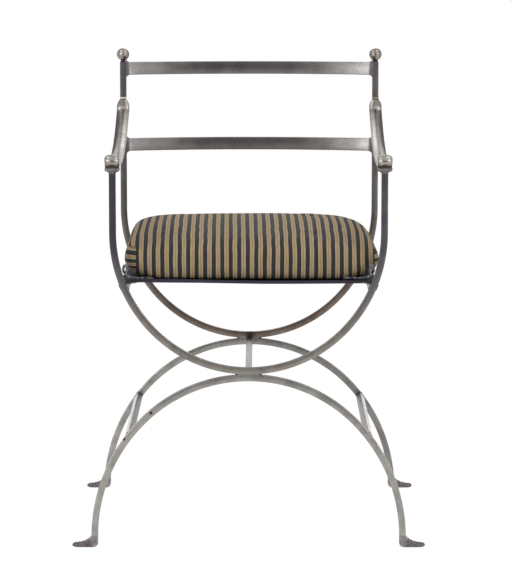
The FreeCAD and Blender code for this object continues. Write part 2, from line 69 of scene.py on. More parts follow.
camera_data = bpy.data.cameras.new("camera")
camera_data.sensor_width = SENSOR_MM
camera_data.lens = FOCAL_PIXELS * SENSOR_MM / IMAGE_HEIGHT
camera = bpy.data.objects.new("camera", camera_data)
camera.location = CAMERA_PLACE
camera.rotation_euler = (math.pi / 2 - CAMERA_TIP, 0, CAMERA_TURN)
scene = bpy.context.scene
scene.collection.objects.link(camera)
scene.camera = camera
scene.view_settings.view_transform = "Standard"


# Studio. A white room with a white floor, two soft boxes in front, two long ones overhead, two narrow
# ones that the bowed back rails mirror near their ends, a small one behind that lights the inner sides
# of the arms, and a low one for the front of the cushion. Dark flags behind the camera and beyond each
# arm give the steel its dark sides.
FLOOR_HALF = 30.0
FLOOR_COLOUR = "#a8a8a8"
FLOOR_SHADOW_SHARE = 0.30
FLOOR_WHITE = 1.36
ROOM_FILL = 0.46
# Each flag: its place, its width and height, and its colour.
FLAGS = {
    "front_flag": ((0.0, -6.4, 1.2), (4.4, 2.4), "#26262f"),
    "far_left_flag": ((-1.05, 1.25, 1.20), (1.20, 1.5), "#74727a"),
    "far_right_flag": ((1.05, 1.25, 1.20), (1.20, 1.5), "#7c7c7c"),
}
# Each soft box: its place, its width and height, its watts, and the point that it is aimed at.
SOFT_BOXES = {
    "left_box": ((-3.3, -3.1, 2.3), (1.5, 1.5), 34, (0, 0, 0.6)),
    "right_box": ((3.3, -3.1, 2.3), (1.5, 1.5), 34, (0, 0, 0.6)),
    "left_strip": ((-1.72, -3.0, 0.55), (0.20, 1.5), 8.5, (0, 0.25, 0.7)),
    "right_strip": ((2.05, -3.0, 0.24), (0.22, 0.4), 4, (0, 0.25, 0.6)),
    "top_left_box": ((-1.35, -0.3, 2.7), (0.8, 2.4), 11, (-1.35, -0.3, 0)),
    "top_right_box": ((1.15, -0.3, 2.7), (0.7, 2.4), 10, (1.15, -0.3, 0)),
    "far_box": ((0.0, 1.75, 1.7), (0.42, 0.7), 1.6, (0, 0, 0.75)),
    "floor_box": ((0.0, -2.2, 0.12), (1.6, 0.2), 7, (0, 0, 0.52)),
}
# The low box is kept out of the reflections, where it would be a streak along each bar.
UNREFLECTED = "floor_box"


def linear(hex_colour):
    """An sRGB hex colour as linear red, green, blue and alpha."""
    parts = np.array([int(hex_colour[i:i + 2], 16) for i in (1, 3, 5)]) / 255
    line = np.where(parts <= 0.04045, parts / 12.92, ((parts + 0.055) / 1.055) ** 2.4)
    return (*line.tolist(), 1.0)


def add(tree, kind, settings=None, links=None):
    """Adds a node of one kind. Settings are socket values or the node's own properties; links name
    or number an input socket and give the output that feeds it, or a node for its first output."""
    node = tree.nodes.new("ShaderNode" + kind)
    for name, value in (settings or {}).items():
        if isinstance(name, int) or name in node.inputs:
            node.inputs[name].default_value = value
        else:
            setattr(node, name, value)
    for name, source in (links or {}).items():
        socket = source.outputs[0] if isinstance(source, bpy.types.Node) else source
        tree.links.new(socket, node.inputs[name])
    return node


def empty_material(name):
    """A material with no nodes yet, and its tree."""
    material = bpy.data.materials.new(name)
    material.use_nodes = True
    material.node_tree.nodes.clear()
    return material, material.node_tree


def seen_rays(tree):
    """1 for the rays that show a thing to the camera, straight, mirrored or through glass, else 0."""
    rays = add(tree, "LightPath")
    seen = add(tree, "Math", {"operation": "MAXIMUM"},
               {0: rays.outputs["Is Camera Ray"], 1: rays.outputs["Is Glossy Ray"]})
    return add(tree, "Math", {"operation": "MAXIMUM"}, {0: seen, 1: rays.outputs["Is Transmission Ray"]})


def flat_sheet(name, corners, material):
    """A four cornered sheet of the studio."""
    mesh = bpy.data.meshes.new(name)
    mesh.from_pydata(corners, [], [(0, 1, 2, 3)])
    mesh.materials.append(material)
    sheet = bpy.data.objects.new(name, mesh)
    scene.collection.objects.link(sheet)
    sheet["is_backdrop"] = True
    return sheet


# White paper floor. Most of what the camera sees of it is plain white; the lit rest keeps the shadow.
paper, tree = empty_material("white_paper_floor")
share = add(tree, "Math", {"operation": "MULTIPLY", 1: 1 - FLOOR_SHADOW_SHARE}, {0: seen_rays(tree)})
matt = add(tree, "BsdfDiffuse", {"Color": linear(FLOOR_COLOUR)})
white = add(tree, "Emission", {"Color": (1, 1, 1, 1), "Strength": FLOOR_WHITE})
mixed = add(tree, "MixShader", {}, {0: share, 1: matt, 2: white})
add(tree, "OutputMaterial", {}, {"Surface": mixed})
flat_sheet("floor", [(-FLOOR_HALF, -FLOOR_HALF, 0), (FLOOR_HALF, -FLOOR_HALF, 0),
                     (FLOOR_HALF, FLOOR_HALF, 0), (-FLOOR_HALF, FLOOR_HALF, 0)], paper)

for name, ((x, y, z), (wide, tall), colour) in FLAGS.items():
    cloth, tree = empty_material(name + "_cloth")
    shade = add(tree, "Emission", {"Color": linear(colour), "Strength": 1.0})
    add(tree, "OutputMaterial", {}, {"Surface": shade})
    left, right, low, high = x - wide / 2, x + wide / 2, z - tall / 2, z + tall / 2
    sheet = flat_sheet(name, [(left, y, low), (right, y, low), (right, y, high), (left, y, high)], cloth)
    sheet.visible_camera = False
    sheet.visible_shadow = False
    sheet.visible_diffuse = False

world = bpy.data.worlds.new("white_room")
world.use_nodes = True
tree = world.node_tree
tree.nodes.clear()
level = add(tree, "MapRange", {"To Min": ROOM_FILL, "To Max": 1.0}, {"Value": seen_rays(tree)})
room = add(tree, "Background", {"Color": (1, 1, 1, 1)}, {"Strength": level})
add(tree, "OutputWorld", {}, {"Surface": room})
scene.world = world

for name, (place, (wide, tall), watts, aim) in SOFT_BOXES.items():
    lamp = bpy.data.lights.new(name, "AREA")
    lamp.shape = "RECTANGLE"
    lamp.size = wide
    lamp.size_y = tall
    lamp.energy = watts
    holder = bpy.data.objects.new(name, lamp)
    holder.location = place
    away = holder.location - Vector(aim)
    holder.rotation_euler = away.to_track_quat("Z", "Y").to_euler()
    holder.visible_glossy = name != UNREFLECTED
    scene.collection.objects.link(holder)


# U frames. Each is one bar of 12 mm square mild steel, bent cold to a U and brushed; its two ends are
# the posts. The rear one is taller, a little browner, and scorched where it is welded to its leg arch.
# The left posts are painted darker and bluer above mid height: a painted dark reflection of the room in
# front. The whole chair leans back on its feet.
BAR = 0.012
BAR_EDGE_RADIUS = 0.0009
SPACING = 0.450
LEAN = math.radians(2.53)
CROWN_HALF_ANGLE = math.radians(45)
WELD_HEIGHT = 0.3164
WELD_GAP = 0.0004
U_CROWN_RADIUS = 0.239
POST_HALF_SPAN = 0.243
FRONT_POST_RISE = 0.1107
REAR_POST_RISE = 0.2822
SCORCH = 0.70
SCORCH_X = 0.003
SCORCH_SPREAD = 0.007
SCORCH_TOP = 0.34
# Above the start height the left posts are painted darker and bluer, as a painted dark reflection.
BLUE_START = 0.50
BLUE_FADE = 0.06
foot_low, foot_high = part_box("front_left_foot")
FOOT_HEIGHT = foot_high.z
FOOT_LINE_Y = (foot_low.y + foot_high.y) / 2 - FOOT_HEIGHT * math.tan(LEAN)


def stand(points):
    """Sets points of the upright drawing in the chair's lean. A point is (x, distance behind the
    middle of the front frame, height along the posts); the lean turns it about the front foot line."""
    x, back, up = np.moveaxis(np.asarray(points, float), -1, 0)
    y = FOOT_LINE_Y + back * math.cos(LEAN) + up * math.sin(LEAN)
    return np.stack([x, y, up * math.cos(LEAN) - back * math.sin(LEAN)], -1)


def rounded_box(width, height, radius, steps=4):
    """Outline of a rectangle whose corners are quarter circles, anticlockwise from the upper right one.
    The radius is one number or one for each corner, and at most about half of the shorter side."""
    quarter = np.linspace(0, math.pi / 2, steps + 1)
    radii = np.minimum(np.broadcast_to(radius, 4), 0.49 * min(width, height))
    corners = []
    for turn, (side, top) in enumerate(((1, 1), (-1, 1), (-1, -1), (1, -1))):
        angle = quarter + turn * math.pi / 2
        corners.append(np.stack([side * (width / 2 - radii[turn]) + radii[turn] * np.cos(angle),
                                 top * (height / 2 - radii[turn]) + radii[turn] * np.sin(angle)], 1))
    return np.concatenate(corners)


def facing(steps):
    """The way each point of a rounded box's outline looks, as a cosine and a sine."""
    angle = (np.arange(4)[:, None] * math.pi / 2 + np.linspace(0, math.pi / 2, steps + 1)).ravel()
    return np.cos(angle), np.sin(angle)


def side_arc(crown_z, crown_radius, half_span, hand):
    """Radius and centre (x, z) of the arc that carries a bent bar on from its crown arc to where the
    bar is widest, at the half span. The two arcs touch at the crown's half angle."""
    sine, cosine = math.sin(CROWN_HALF_ANGLE), math.cos(CROWN_HALF_ANGLE)
    radius = (half_span - crown_radius * sine) / (1 - sine)
    return radius, (crown_radius - radius) * sine, crown_z - hand * (crown_radius - radius) * cosine


def bent_bar(crown_z, crown_radius, half_span, end_z, hand):
    """Centre line of a bar bent to a U (hand 1) or an arch (hand -1): a crown arc, an arc on each
    side of it, and straight ends where there is room. Gives points (x, z) and the outward normals."""
    side_radius, side_x, side_z = side_arc(crown_z, crown_radius, half_span, hand)
    rise = hand * (end_z - side_z)
    last = math.pi / 2 if rise >= 0 else math.acos(-rise / side_radius)
    turn = np.linspace(-last, last, 221)
    on_crown = np.abs(turn) < CROWN_HALF_ANGLE
    radius = np.where(on_crown, crown_radius, side_radius)
    centre_x = np.where(on_crown, 0, np.sign(turn) * side_x)
    centre_z = np.where(on_crown, crown_z, side_z)
    points = np.stack([centre_x + radius * np.sin(turn), centre_z - hand * radius * np.cos(turn)], 1)
    normals = np.stack([np.sin(turn), -hand * np.cos(turn)], 1)
    if rise > 0:
        points = np.concatenate([[(-half_span, end_z)], points, [(half_span, end_z)]])
        normals = np.concatenate([[(-1, 0)], normals, [(1, 0)]])
    return points, normals


def upright_rings(points, normals, back, outline):
    """Rings of a bar that lies in an upright plane: an outline's first number is taken along the
    normal and its second one front to back."""
    n, m = len(points), len(outline)
    x = points[:, None, 0] + outline[None, :, 0] * normals[:, None, 0]
    z = points[:, None, 1] + outline[None, :, 0] * normals[:, None, 1]
    y = np.broadcast_to(back + outline[None, :, 1], (n, m))
    return np.stack([x, y, z], -1)


def solid(name, rings, material, sharp=40):
    """A closed piece from rings of points, ring after ring, with flat ends. Its map called along
    holds the distance round the ring and the distance along the piece, in metres."""
    n, m, _ = rings.shape
    points = rings.reshape(-1, 3)
    ring, place = np.meshgrid(np.arange(n - 1), np.arange(m), indexing="ij")
    after = (place + 1) % m
    quads = np.stack([ring * m + place, ring * m + after, (ring + 1) * m + after, (ring + 1) * m + place], -1)
    quads = quads.reshape(-1, 4)
    first, last = np.arange(m)[::-1], np.arange(m) + (n - 1) * m
    steps = np.linalg.norm(np.roll(rings, -1, 1) - rings, axis=2)
    around = np.concatenate([np.zeros((n, 1)), np.cumsum(steps, 1)], 1)
    middle = rings.mean(1)
    along = np.concatenate([[0], np.cumsum(np.linalg.norm(np.diff(middle, axis=0), axis=1))])
    flat_u = np.stack([around[:-1, :-1], around[:-1, 1:], around[1:, 1:], around[1:, :-1]], -1).reshape(-1, 4)
    flat_v = np.stack([along[ring], along[ring], along[ring + 1], along[ring + 1]], -1).reshape(-1, 4)
    corner = [points[quads[:, k]] for k in range(4)]
    halves = np.cross(corner[1], corner[2]) + np.cross(corner[2], corner[3])
    volume = (corner[0] * halves).sum()
    for end in (first, last):
        fan = points[end]
        volume += (fan[0] * np.cross(fan[1:-1], fan[2:])).sum()
    faces = quads.tolist() + [first.tolist(), last.tolist()]
    end_u = [around[0, first], around[-1, np.arange(m)]]
    end_v = [np.full(m, along[0]), np.full(m, along[-1])]
    u = np.concatenate([flat_u.ravel(), *end_u])
    v = np.concatenate([flat_v.ravel(), *end_v])
    if volume < 0:
        faces = [face[::-1] for face in faces]
        u = np.concatenate([flat_u[:, ::-1].ravel(), *[side[::-1] for side in end_u]])
        v = np.concatenate([flat_v[:, ::-1].ravel(), *[side[::-1] for side in end_v]])
    mesh = bpy.data.meshes.new(name)
    mesh.from_pydata(points.tolist(), [], faces)
    layer = mesh.uv_layers.new(name="along")
    layer.data.foreach_set("uv", np.stack([u, v], 1).astype(np.float32).ravel())
    mesh.shade_smooth()
    mesh.set_sharp_from_angle(angle=math.radians(sharp))
    mesh.materials.append(material)
    made = bpy.data.objects.new(name, mesh)
    scene.collection.objects.link(made)
    return made


def set_in(made, slot, *nodes):
    """Fixes a finished piece to the chair, in the place of its CAD nodes."""
    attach(made, "root")
    if nodes:
        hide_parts(*nodes)
    return made


def share_of(value, whole):
    """A length as a share of another one, kept between 0 and 1."""
    return np.clip(value / whole, 0, 1)


def mark_scale_and_shade(made, values):
    """Says for each point, from 0 to 1, how far the steel takes its dark colour: the scale of the fire where
    it is left on, and on some pieces painted shade and painted dark reflection.
    """
    made.data.attributes.new("scale_and_shade", "FLOAT", "POINT")
    made.data.attributes["scale_and_shade"].data.foreach_set("value", np.asarray(values, np.float32).ravel())


# The steel's colour changes from the low tone to the high one between these two heights.
TONE_CHANGE = (0.34, 0.56)
# Real scratches are 0.1 mm wide; drawn ten times as wide, so that they show.
SCRATCH_WIDTH = 0.001
SCRATCH_LENGTH = 0.045
# A pit is dark out to the first distance and fades out at the second.
PIT_EDGE = (0.0016, 0.0042)


def brushed_steel(name, tone, shade, high_tone, roughness, cloud_mm=26, scratch=0.35, scale_and_shade="#3c3640",
                  pits=(), bump=0.25):
    """Mild steel, wire brushed along the bar and waxed: scratches that run with the bar, cloudy darker
    oxide, and a slow change of colour from the low tone at the floor to the high tone at the top.
    Where the scale and shade attribute is 1, and in a pit, the given dark colour is mixed in: the scale of
    the fire, and on some pieces painted shade and painted dark reflection."""
    material, tree = empty_material(name)
    place = add(tree, "TexCoord")
    along = add(tree, "UVMap", {"uv_map": "along"})
    stretch = add(tree, "Mapping", {"Scale": (1 / SCRATCH_WIDTH, 1 / SCRATCH_LENGTH, 1)}, {0: along})
    lines = add(tree, "TexNoise", {"Scale": 1.0, "Detail": 3.0, "Roughness": 0.6}, {"Vector": stretch})
    clouds = add(tree, "TexNoise", {"Scale": 1000 / cloud_mm, "Detail": 4.0, "Roughness": 0.6},
                 {"Vector": place.outputs["Object"]})
    split = add(tree, "SeparateXYZ", {}, {0: place.outputs["Object"]})
    climb = add(tree, "MapRange", {"From Min": TONE_CHANGE[0], "From Max": TONE_CHANGE[1],
                                   "interpolation_type": "SMOOTHSTEP"}, {"Value": split.outputs["Z"]})
    body = add(tree, "Mix", {"data_type": "RGBA", 6: linear(tone), 7: linear(high_tone)}, {0: climb})
    worn = add(tree, "MapRange", {"From Min": 0.42, "From Max": 0.68, "To Max": 0.7}, {"Value": clouds})
    cloudy = add(tree, "Mix", {"data_type": "RGBA", 7: linear(shade)}, {0: worn, 6: body.outputs[2]})
    dull = add(tree, "MapRange", {"From Min": 0.35, "From Max": 0.75, "To Max": scratch}, {"Value": lines})
    colour = add(tree, "Mix", {"data_type": "RGBA", "blend_type": "MULTIPLY", 7: linear("#8a8784")},
                 {0: dull, 6: cloudy.outputs[2]})
    dark = add(tree, "Attribute", {"attribute_name": "scale_and_shade"}).outputs["Fac"]
    for pit in pits:
        gap = add(tree, "VectorMath", {"operation": "DISTANCE", 1: pit}, {0: place.outputs["Object"]})
        spot = add(tree, "MapRange", {"From Min": PIT_EDGE[0], "From Max": PIT_EDGE[1], "To Min": 1.0,
                                      "To Max": 0.0}, {"Value": gap.outputs["Value"]})
        dark = add(tree, "Math", {"operation": "MAXIMUM"}, {0: dark, 1: spot})
    fired = add(tree, "Mix", {"data_type": "RGBA", 7: linear(scale_and_shade)}, {0: dark, 6: colour.outputs[2]})
    # The deeper the brushing, the more the gloss varies with it.
    rough = add(tree, "MapRange", {"From Min": 0.3, "From Max": 0.7, "To Min": roughness - 0.24 * bump,
                                   "To Max": roughness + 0.40 * bump}, {"Value": lines})
    rougher = add(tree, "Mix", {"data_type": "FLOAT", 3: 0.46}, {0: dark, 2: rough})
    relief = add(tree, "Bump", {"Strength": bump, "Distance": 0.0002}, {"Height": lines})
    way = add(tree, "Tangent", {"direction_type": "UV_MAP", "uv_map": "along"})
    metal = add(tree, "BsdfPrincipled", {"Metallic": 1.0, "Anisotropic": 0.5},
                {"Base Color": fired.outputs[2], "Roughness": rougher, "Normal": relief,
                 "Tangent": way})
    add(tree, "OutputMaterial", {}, {"Surface": metal})
    return material


# The front frame's high tone, darker and bluer than its low one, is a painted dark reflection of the room in
# front on its upper posts.
front_steel = brushed_steel("brushed_mild_steel_front", "#a49d95", "#7f7a76", "#66646d", 0.30)
rear_steel = brushed_steel("brushed_mild_steel_rear", "#8f8177", "#6b5f57", "#85807e", 0.32, scale_and_shade="#33323f")
square = rounded_box(BAR, BAR, BAR_EDGE_RADIUS)

U_CROWN_Z = WELD_HEIGHT + WELD_GAP / 2 + BAR / 2 + U_CROWN_RADIUS
U_SIDE_RADIUS, U_SIDE_X, U_SIDE_Z = side_arc(U_CROWN_Z, U_CROWN_RADIUS, POST_HALF_SPAN, 1)
FRONT_POST_TOP = U_SIDE_Z + FRONT_POST_RISE
REAR_POST_TOP = U_SIDE_Z + REAR_POST_RISE
# Each frame: how far back it stands, the height of its ends, its metal, and how much painted dark
# reflection blues its left post.
U_BARS = {"front_u": (0.0, FRONT_POST_TOP, front_steel, 0.75),
          "rear_u": (SPACING, REAR_POST_TOP, rear_steel, 0.45)}
for name, (back, top, metal, blue) in U_BARS.items():
    line, normals = bent_bar(U_CROWN_Z, U_CROWN_RADIUS, POST_HALF_SPAN, top, 1)
    rings = stand(upright_rings(line, normals, back, square))
    made = set_in(solid(name + "_bar", rings, metal), "frame_steel", name + "_frame")
    scorched = SCORCH * np.exp(-((rings[..., 0] - SCORCH_X) / SCORCH_SPREAD) ** 2)
    at_weld = (rings[..., 2] < SCORCH_TOP) & (back > 0)
    # Painted dark reflection: the left post is painted darker and bluer above the start height.
    blue_tint = blue * share_of(rings[..., 2] - BLUE_START, BLUE_FADE) * (rings[..., 0] < 0)
    mark_scale_and_shade(made, scorched * at_weld + blue_tint)


# Leg arches. The same bar bent to an inverted U whose ends stand on the feet, ground flat against the
# U above it. The legs are cut level just above the ankles. The rear one is scorched where the
# stretchers meet it and darkens towards its right leg; two small pits show in the front one.
LEG_CROWN_RADIUS = 0.2693
LEG_HALF_SPAN = 0.2785
STRETCHER_ANGLE = math.radians(52.4)
JOINT_SCORCH = 0.8
JOINT_SCORCH_SPREAD = 0.009
RIGHT_DARKENING = 0.36
RIGHT_DARKENING_FADE = 0.14
PITS = ((-0.1758, -0.2542, 0.2468), (-0.2247, -0.2558, 0.1993))
leg_steel = brushed_steel("brushed_mild_steel_legs", "#aeaba6", "#878480", "#9a9691", 0.30, pits=PITS)
LEG_CROWN_Z = WELD_HEIGHT - WELD_GAP / 2 - BAR / 2 - LEG_CROWN_RADIUS
LEG_SIDE_RADIUS, LEG_SIDE_X, LEG_SIDE_Z = side_arc(LEG_CROWN_Z, LEG_CROWN_RADIUS, LEG_HALF_SPAN, -1)
STRETCHER_X = LEG_SIDE_X + LEG_SIDE_RADIUS * math.sin(STRETCHER_ANGLE)
STRETCHER_Z = LEG_SIDE_Z + LEG_SIDE_RADIUS * math.cos(STRETCHER_ANGLE)
for name, back in (("front_leg", 0.0), ("rear_leg", SPACING)):
    ankle = (FOOT_HEIGHT + back * math.sin(LEAN)) / math.cos(LEAN)
    line, normals = bent_bar(LEG_CROWN_Z, LEG_CROWN_RADIUS, LEG_HALF_SPAN, ankle, -1)
    flat = upright_rings(line, normals, back, square)
    rings = stand(flat)
    rings[[0, -1], :, 2] = FOOT_HEIGHT
    made = set_in(solid(name + "_bar", rings, leg_steel), "frame_steel", name + "_arch")
    off_joint = np.hypot(np.abs(flat[..., 0]) - STRETCHER_X, flat[..., 2] - STRETCHER_Z)
    scorched = JOINT_SCORCH * np.exp(-(off_joint / JOINT_SCORCH_SPREAD) ** 2)
    right_darkening = RIGHT_DARKENING * share_of(rings[..., 0], RIGHT_DARKENING_FADE)
    mark_scale_and_shade(made, (scorched + right_darkening) * (back > 0))


# Feet. The end of each leg is forged hot: bent outwards, spread and drawn down to a blunt rounded toe.
# The heel is brushed with the leg; the hammered toe keeps its dark, purplish scale.
TOE_REACH = 0.041
TOE_WIDTH = 0.0170
TOE_THICKNESS = 0.0064
TOE_BLUNT = 0.005
TOE_SPREAD = 0.016
ANKLE_FALL = 0.0095
HEEL_RADIUS = 0.0085
# The hammer marks fade in over a share of the way from the ankle to the tip.
HAMMER_DEPTH = 0.0004
HAMMER_START = 0.12
HAMMER_FADE = 0.2
# The scale begins at a line that leans towards the toe as it climbs.
SCALE_START = 0.0005
SCALE_SLOPE = 0.35
SCALE_FADE = 0.007


def foot_rings(side):
    """Rings from the ankle to the toe's tip. Each spans from a point of the upper side, whose height
    falls off exponentially from the ankle, to one of the sole, which comes down the heel in a quarter
    circle and runs flat. Near the tip half width and half height shrink as a circle's chord does."""
    share = np.linspace(0, 1, 56)
    upper_x = BAR / 2 + (TOE_REACH - BAR / 2) * share ** 1.15
    upper_z = TOE_THICKNESS + (FOOT_HEIGHT - TOE_THICKNESS) * np.exp(-(upper_x - BAR / 2) / ANKLE_FALL)
    down = FOOT_HEIGHT - HEEL_RADIUS
    bend = math.pi / 2 * HEEL_RADIUS
    flat = TOE_REACH + BAR / 2 - HEEL_RADIUS
    run = np.interp(share, [0, 0.28, 0.45, 1], [0, down, down + bend, down + bend + flat])
    angle = np.clip((run - down) / HEEL_RADIUS, 0, math.pi / 2)
    lower_x = -BAR / 2 + HEEL_RADIUS * (1 - np.cos(angle)) + np.clip(run - down - bend, 0, None)
    lower_z = HEEL_RADIUS * (1 - np.sin(angle)) + np.clip(down - run, 0, None)
    tip = np.clip((upper_x - (TOE_REACH - TOE_WIDTH / 2)) / (TOE_WIDTH / 2), 0, 0.99)
    close = np.sqrt(1 - tip ** 2)
    half_width = (BAR / 2 + (TOE_WIDTH - BAR) / 2 * share_of(upper_x - BAR / 2, TOE_SPREAD)) * close
    blunt = np.sqrt(1 - np.clip((upper_x - (TOE_REACH - TOE_BLUNT)) / TOE_BLUNT, 0, 0.97) ** 2)
    middle = np.stack([(upper_x + lower_x) / 2, (upper_z + lower_z) / 2], 1)
    half = np.stack([(upper_x - lower_x) / 2, (upper_z - lower_z) / 2], 1) * blunt[:, None]
    # The section goes from a square at the ankle to nearly an ellipse at the tip.
    turn = np.linspace(0, 2 * math.pi, 41)[:-1]
    power = np.interp(share, [0, 0.5, 1], [0.22, 0.40, 0.62])[:, None]
    across = np.sign(np.cos(turn)) * np.abs(np.cos(turn)) ** power
    up = np.sign(np.sin(turn)) * np.abs(np.sin(turn)) ** power
    x = middle[:, None, 0] + up * half[:, None, 0]
    z = middle[:, None, 1] + up * half[:, None, 1]
    y = across * half_width[:, None]
    # Hammer marks on the upper side, and scale in patches in front of the heel.
    dent = np.sin(x * 900 + 2 * side) * np.sin(y * 700 + 1) + 0.6 * np.sin(x * 1700 + y * 1300 + side)
    bruise = HAMMER_DEPTH * dent * share_of(share[:, None] - HAMMER_START, HAMMER_FADE)
    z = np.where(up > 0, z + bruise, z)
    patches = 0.72 + 0.28 * np.sin(x * 1100 + y * 600 + side)
    scale = share_of(x - SCALE_START - SCALE_SLOPE * z, SCALE_FADE) * patches
    return np.stack([side * x, y, z], -1), scale


forged_steel = brushed_steel("forged_steel_with_scale", "#a19da0", "#6d666b", "#a19da0", 0.36, cloud_mm=7,
                             scale_and_shade="#5a5158")
for label in ("front_left", "front_right", "rear_left", "rear_right"):
    low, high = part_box(label + "_foot")
    side = 1 if low.x > 0 else -1
    leg_x = low.x + BAR / 2 if side > 0 else high.x - BAR / 2
    rings, scale = foot_rings(side)
    rings = rings + (leg_x, (low.y + high.y) / 2, 0)
    made = set_in(solid(label + "_forged_foot", rings, forged_steel, 60), "forged_steel", label + "_foot")
    mark_scale_and_shade(made, scale)


# Joint welds. The U and the leg arch of each frame are welded where they touch, a short way to each
# side of the crown, and the weld is ground flush. Each end of it is painted dark: painted shade of the
# crevice there.
WELD_HALF_LENGTH = 0.0235
WELD_SINK = 0.0012
CREVICE_SHADE_START = 0.0185
CREVICE_SHADE_FADE = 0.003
WELD_EDGE_RADIUS = 0.0002
WELD_INSET = 0.0003
weld_metal = brushed_steel("ground_weld", "#9c9894", "#787472", "#8c8884", 0.34)
x = np.linspace(-WELD_HALF_LENGTH, WELD_HALF_LENGTH, 25)
top = U_CROWN_Z - np.sqrt((U_CROWN_RADIUS + BAR / 2 - WELD_SINK) ** 2 - x ** 2)
bottom = LEG_CROWN_Z + np.sqrt((LEG_CROWN_RADIUS + BAR / 2 - WELD_SINK) ** 2 - x ** 2)
flush = rounded_box(1.0, BAR - WELD_INSET, WELD_EDGE_RADIUS)
up = (top + bottom)[:, None] / 2 + flush[:, 0] * (top - bottom)[:, None]
x, across = np.broadcast_arrays(x[:, None], flush[:, 1])
for name, back in (("front", 0.0), ("rear", SPACING)):
    rings = stand(np.stack([x, back + across, up], -1))
    made = set_in(solid(name + "_ground_weld", rings, weld_metal), "forged_steel", name + "_joint_weld")
    # Painted shade at each end of the weld, where the crevice between the bars is.
    mark_scale_and_shade(made, share_of(np.abs(x) - CREVICE_SHADE_START, CREVICE_SHADE_FADE))


# Stretchers and seat rails. Straight lengths of the same square bar from the front frame to the rear
# one, each turned to the slope of the bar that it is welded to, with a bead of weld round each end. The
# leg stretchers take a brighter copy of the steel, partly painted light on their upper faces, and painted
# shade darkens their other faces. The seat rails are under the sling.
RAIL_ANGLE = math.radians(23.4)
RAIL_X = U_SIDE_X + U_SIDE_RADIUS * math.cos(RAIL_ANGLE)
RAIL_Z = U_SIDE_Z - U_SIDE_RADIUS * math.sin(RAIL_ANGLE)
FRONT_BEAD = 0.0006
REAR_BEAD = 0.0008
BURN_LENGTH = 0.045
BURN_FADE = 0.040
stretcher_steel = brushed_steel("brushed_mild_steel_stretchers", "#b2afab", "#8f8c89", "#8f8c89", 0.34)
# A brighter copy of the stretcher steel for the leg stretchers: partly painted light.
lit_stretcher_steel = brushed_steel("stretcher_steel_painted_lit", "#e4e1dc", "#c9c6c1", "#e4e1dc", 0.30)
dark_weld = brushed_steel("raw_weld_bead", "#8a858c", "#5f5a62", "#8a858c", 0.5, cloud_mm=5)


def turned(outline, angle):
    """An outline (across, up) turned so that its first axis slopes down by the angle."""
    cosine, sine = math.cos(angle), math.sin(angle)
    across, up = outline[..., 0], outline[..., 1]
    return np.stack([across * cosine + up * sine, up * cosine - across * sine], -1)


def bead_rings(reach):
    """A weld bead round the end of a bar, as rings from the bar outwards: the outline of the bar is
    grown by a hollow quarter curve while it comes down to the face that the bar meets."""
    step = np.linspace(0, 1, 7)
    grow = reach * (1 - np.cos(step * math.pi / 2))
    rise = 2 * reach * (1 - np.sin(step * math.pi / 2))
    rings = []
    for wide, high in zip(grow, rise):
        size = 2 * (BAR / 2 + wide)
        outline = rounded_box(size, size, BAR_EDGE_RADIUS + wide, 5)
        wave = 1 + 0.10 * np.sin(np.arange(len(outline)) * 2.4) * (wide > 0)
        rings.append(np.concatenate([outline * wave[:, None], np.full((len(outline), 1), high)], 1))
    return np.array(rings)


# Each bar: its place (x, z), its turn, its side, its metal, how much painted shade darkens its faces
# apart from the upper one, and how far its rear end is scorched.
crossbars = {"centre_stretcher": (0.0, LEG_CROWN_Z + LEG_CROWN_RADIUS, 0.0, 1, stretcher_steel, 0.0, 0.0)}
for side_name, hand, dark in (("left", -1, 0.70), ("right", 1, 0.56)):
    crossbars[side_name + "_leg_stretcher"] = (STRETCHER_X, STRETCHER_Z, STRETCHER_ANGLE, hand,
                                               lit_stretcher_steel, dark, 0.9)
    crossbars[side_name + "_seat_rail"] = (RAIL_X, RAIL_Z, RAIL_ANGLE, hand, stretcher_steel, 0.0, 0.75)
_, looks_up = facing(4)
backs = np.linspace(BAR / 2, SPACING - BAR / 2, 30)[:, None]
scorched = share_of(backs - (SPACING - BURN_LENGTH), BURN_FADE)
for node, (x, z, angle, hand, metal, dark, burn) in crossbars.items():
    section = turned(square, angle)
    rings = np.stack(np.broadcast_arrays(hand * (x + section[:, 0]), backs, z + section[:, 1]), -1)
    made = set_in(solid(node + "_bar", stand(rings), metal), "frame_steel", node)
    # Painted shade on the faces that don't look up, and scorch towards the rear end.
    mark_scale_and_shade(made, np.maximum(burn * scorched, dark * (1 - np.clip(looks_up, 0, 1) ** 2)))
    rear_weld = dark_weld if burn else stretcher_steel
    for end, start, way, reach, weld in (("front", BAR / 2, 1, FRONT_BEAD, stretcher_steel),
                                         ("rear", SPACING - BAR / 2, -1, REAR_BEAD, rear_weld)):
        bead = bead_rings(reach)
        flat = turned(bead[..., :2], angle)
        rings = np.stack([hand * (x + flat[..., 0]), start + way * bead[..., 2], z + flat[..., 1]], -1)
        set_in(solid(node + "_" + end + "_bead", stand(rings), weld, 60), "forged_steel")


# Back rails. Flat bar, 24.5 by 6 mm, stood on edge and bowed to the rear, brushed along its length and
# welded between the rear posts. The welds are dressed to hollow curves above and below, blue from heat.
RAIL_HEIGHT = 0.0245
RAIL_THICKNESS = 0.006
RAIL_BOW = 0.036
TOP_RAIL_DROP = 0.0125
LOWER_RAIL_DROP = 0.1595
RAIL_EDGE_RADIUS = 0.0010
HOLLOW_RISE = 0.0052
HOLLOW_LENGTH = 0.0085
BLUED_LENGTH = 0.0045
BLUED_FADE = 0.0024
rail_steel = brushed_steel("brushed_flat_bar", "#9b9896", "#767371", "#908d8b", 0.26, cloud_mm=34,
                           scale_and_shade="#5e5c64", bump=0.04)
half_span = POST_HALF_SPAN - BAR / 2
bow_radius = (half_span ** 2 + RAIL_BOW ** 2) / (2 * RAIL_BOW)
bow_angle = math.asin(half_span / bow_radius)
share = np.linspace(-1, 1, 161)
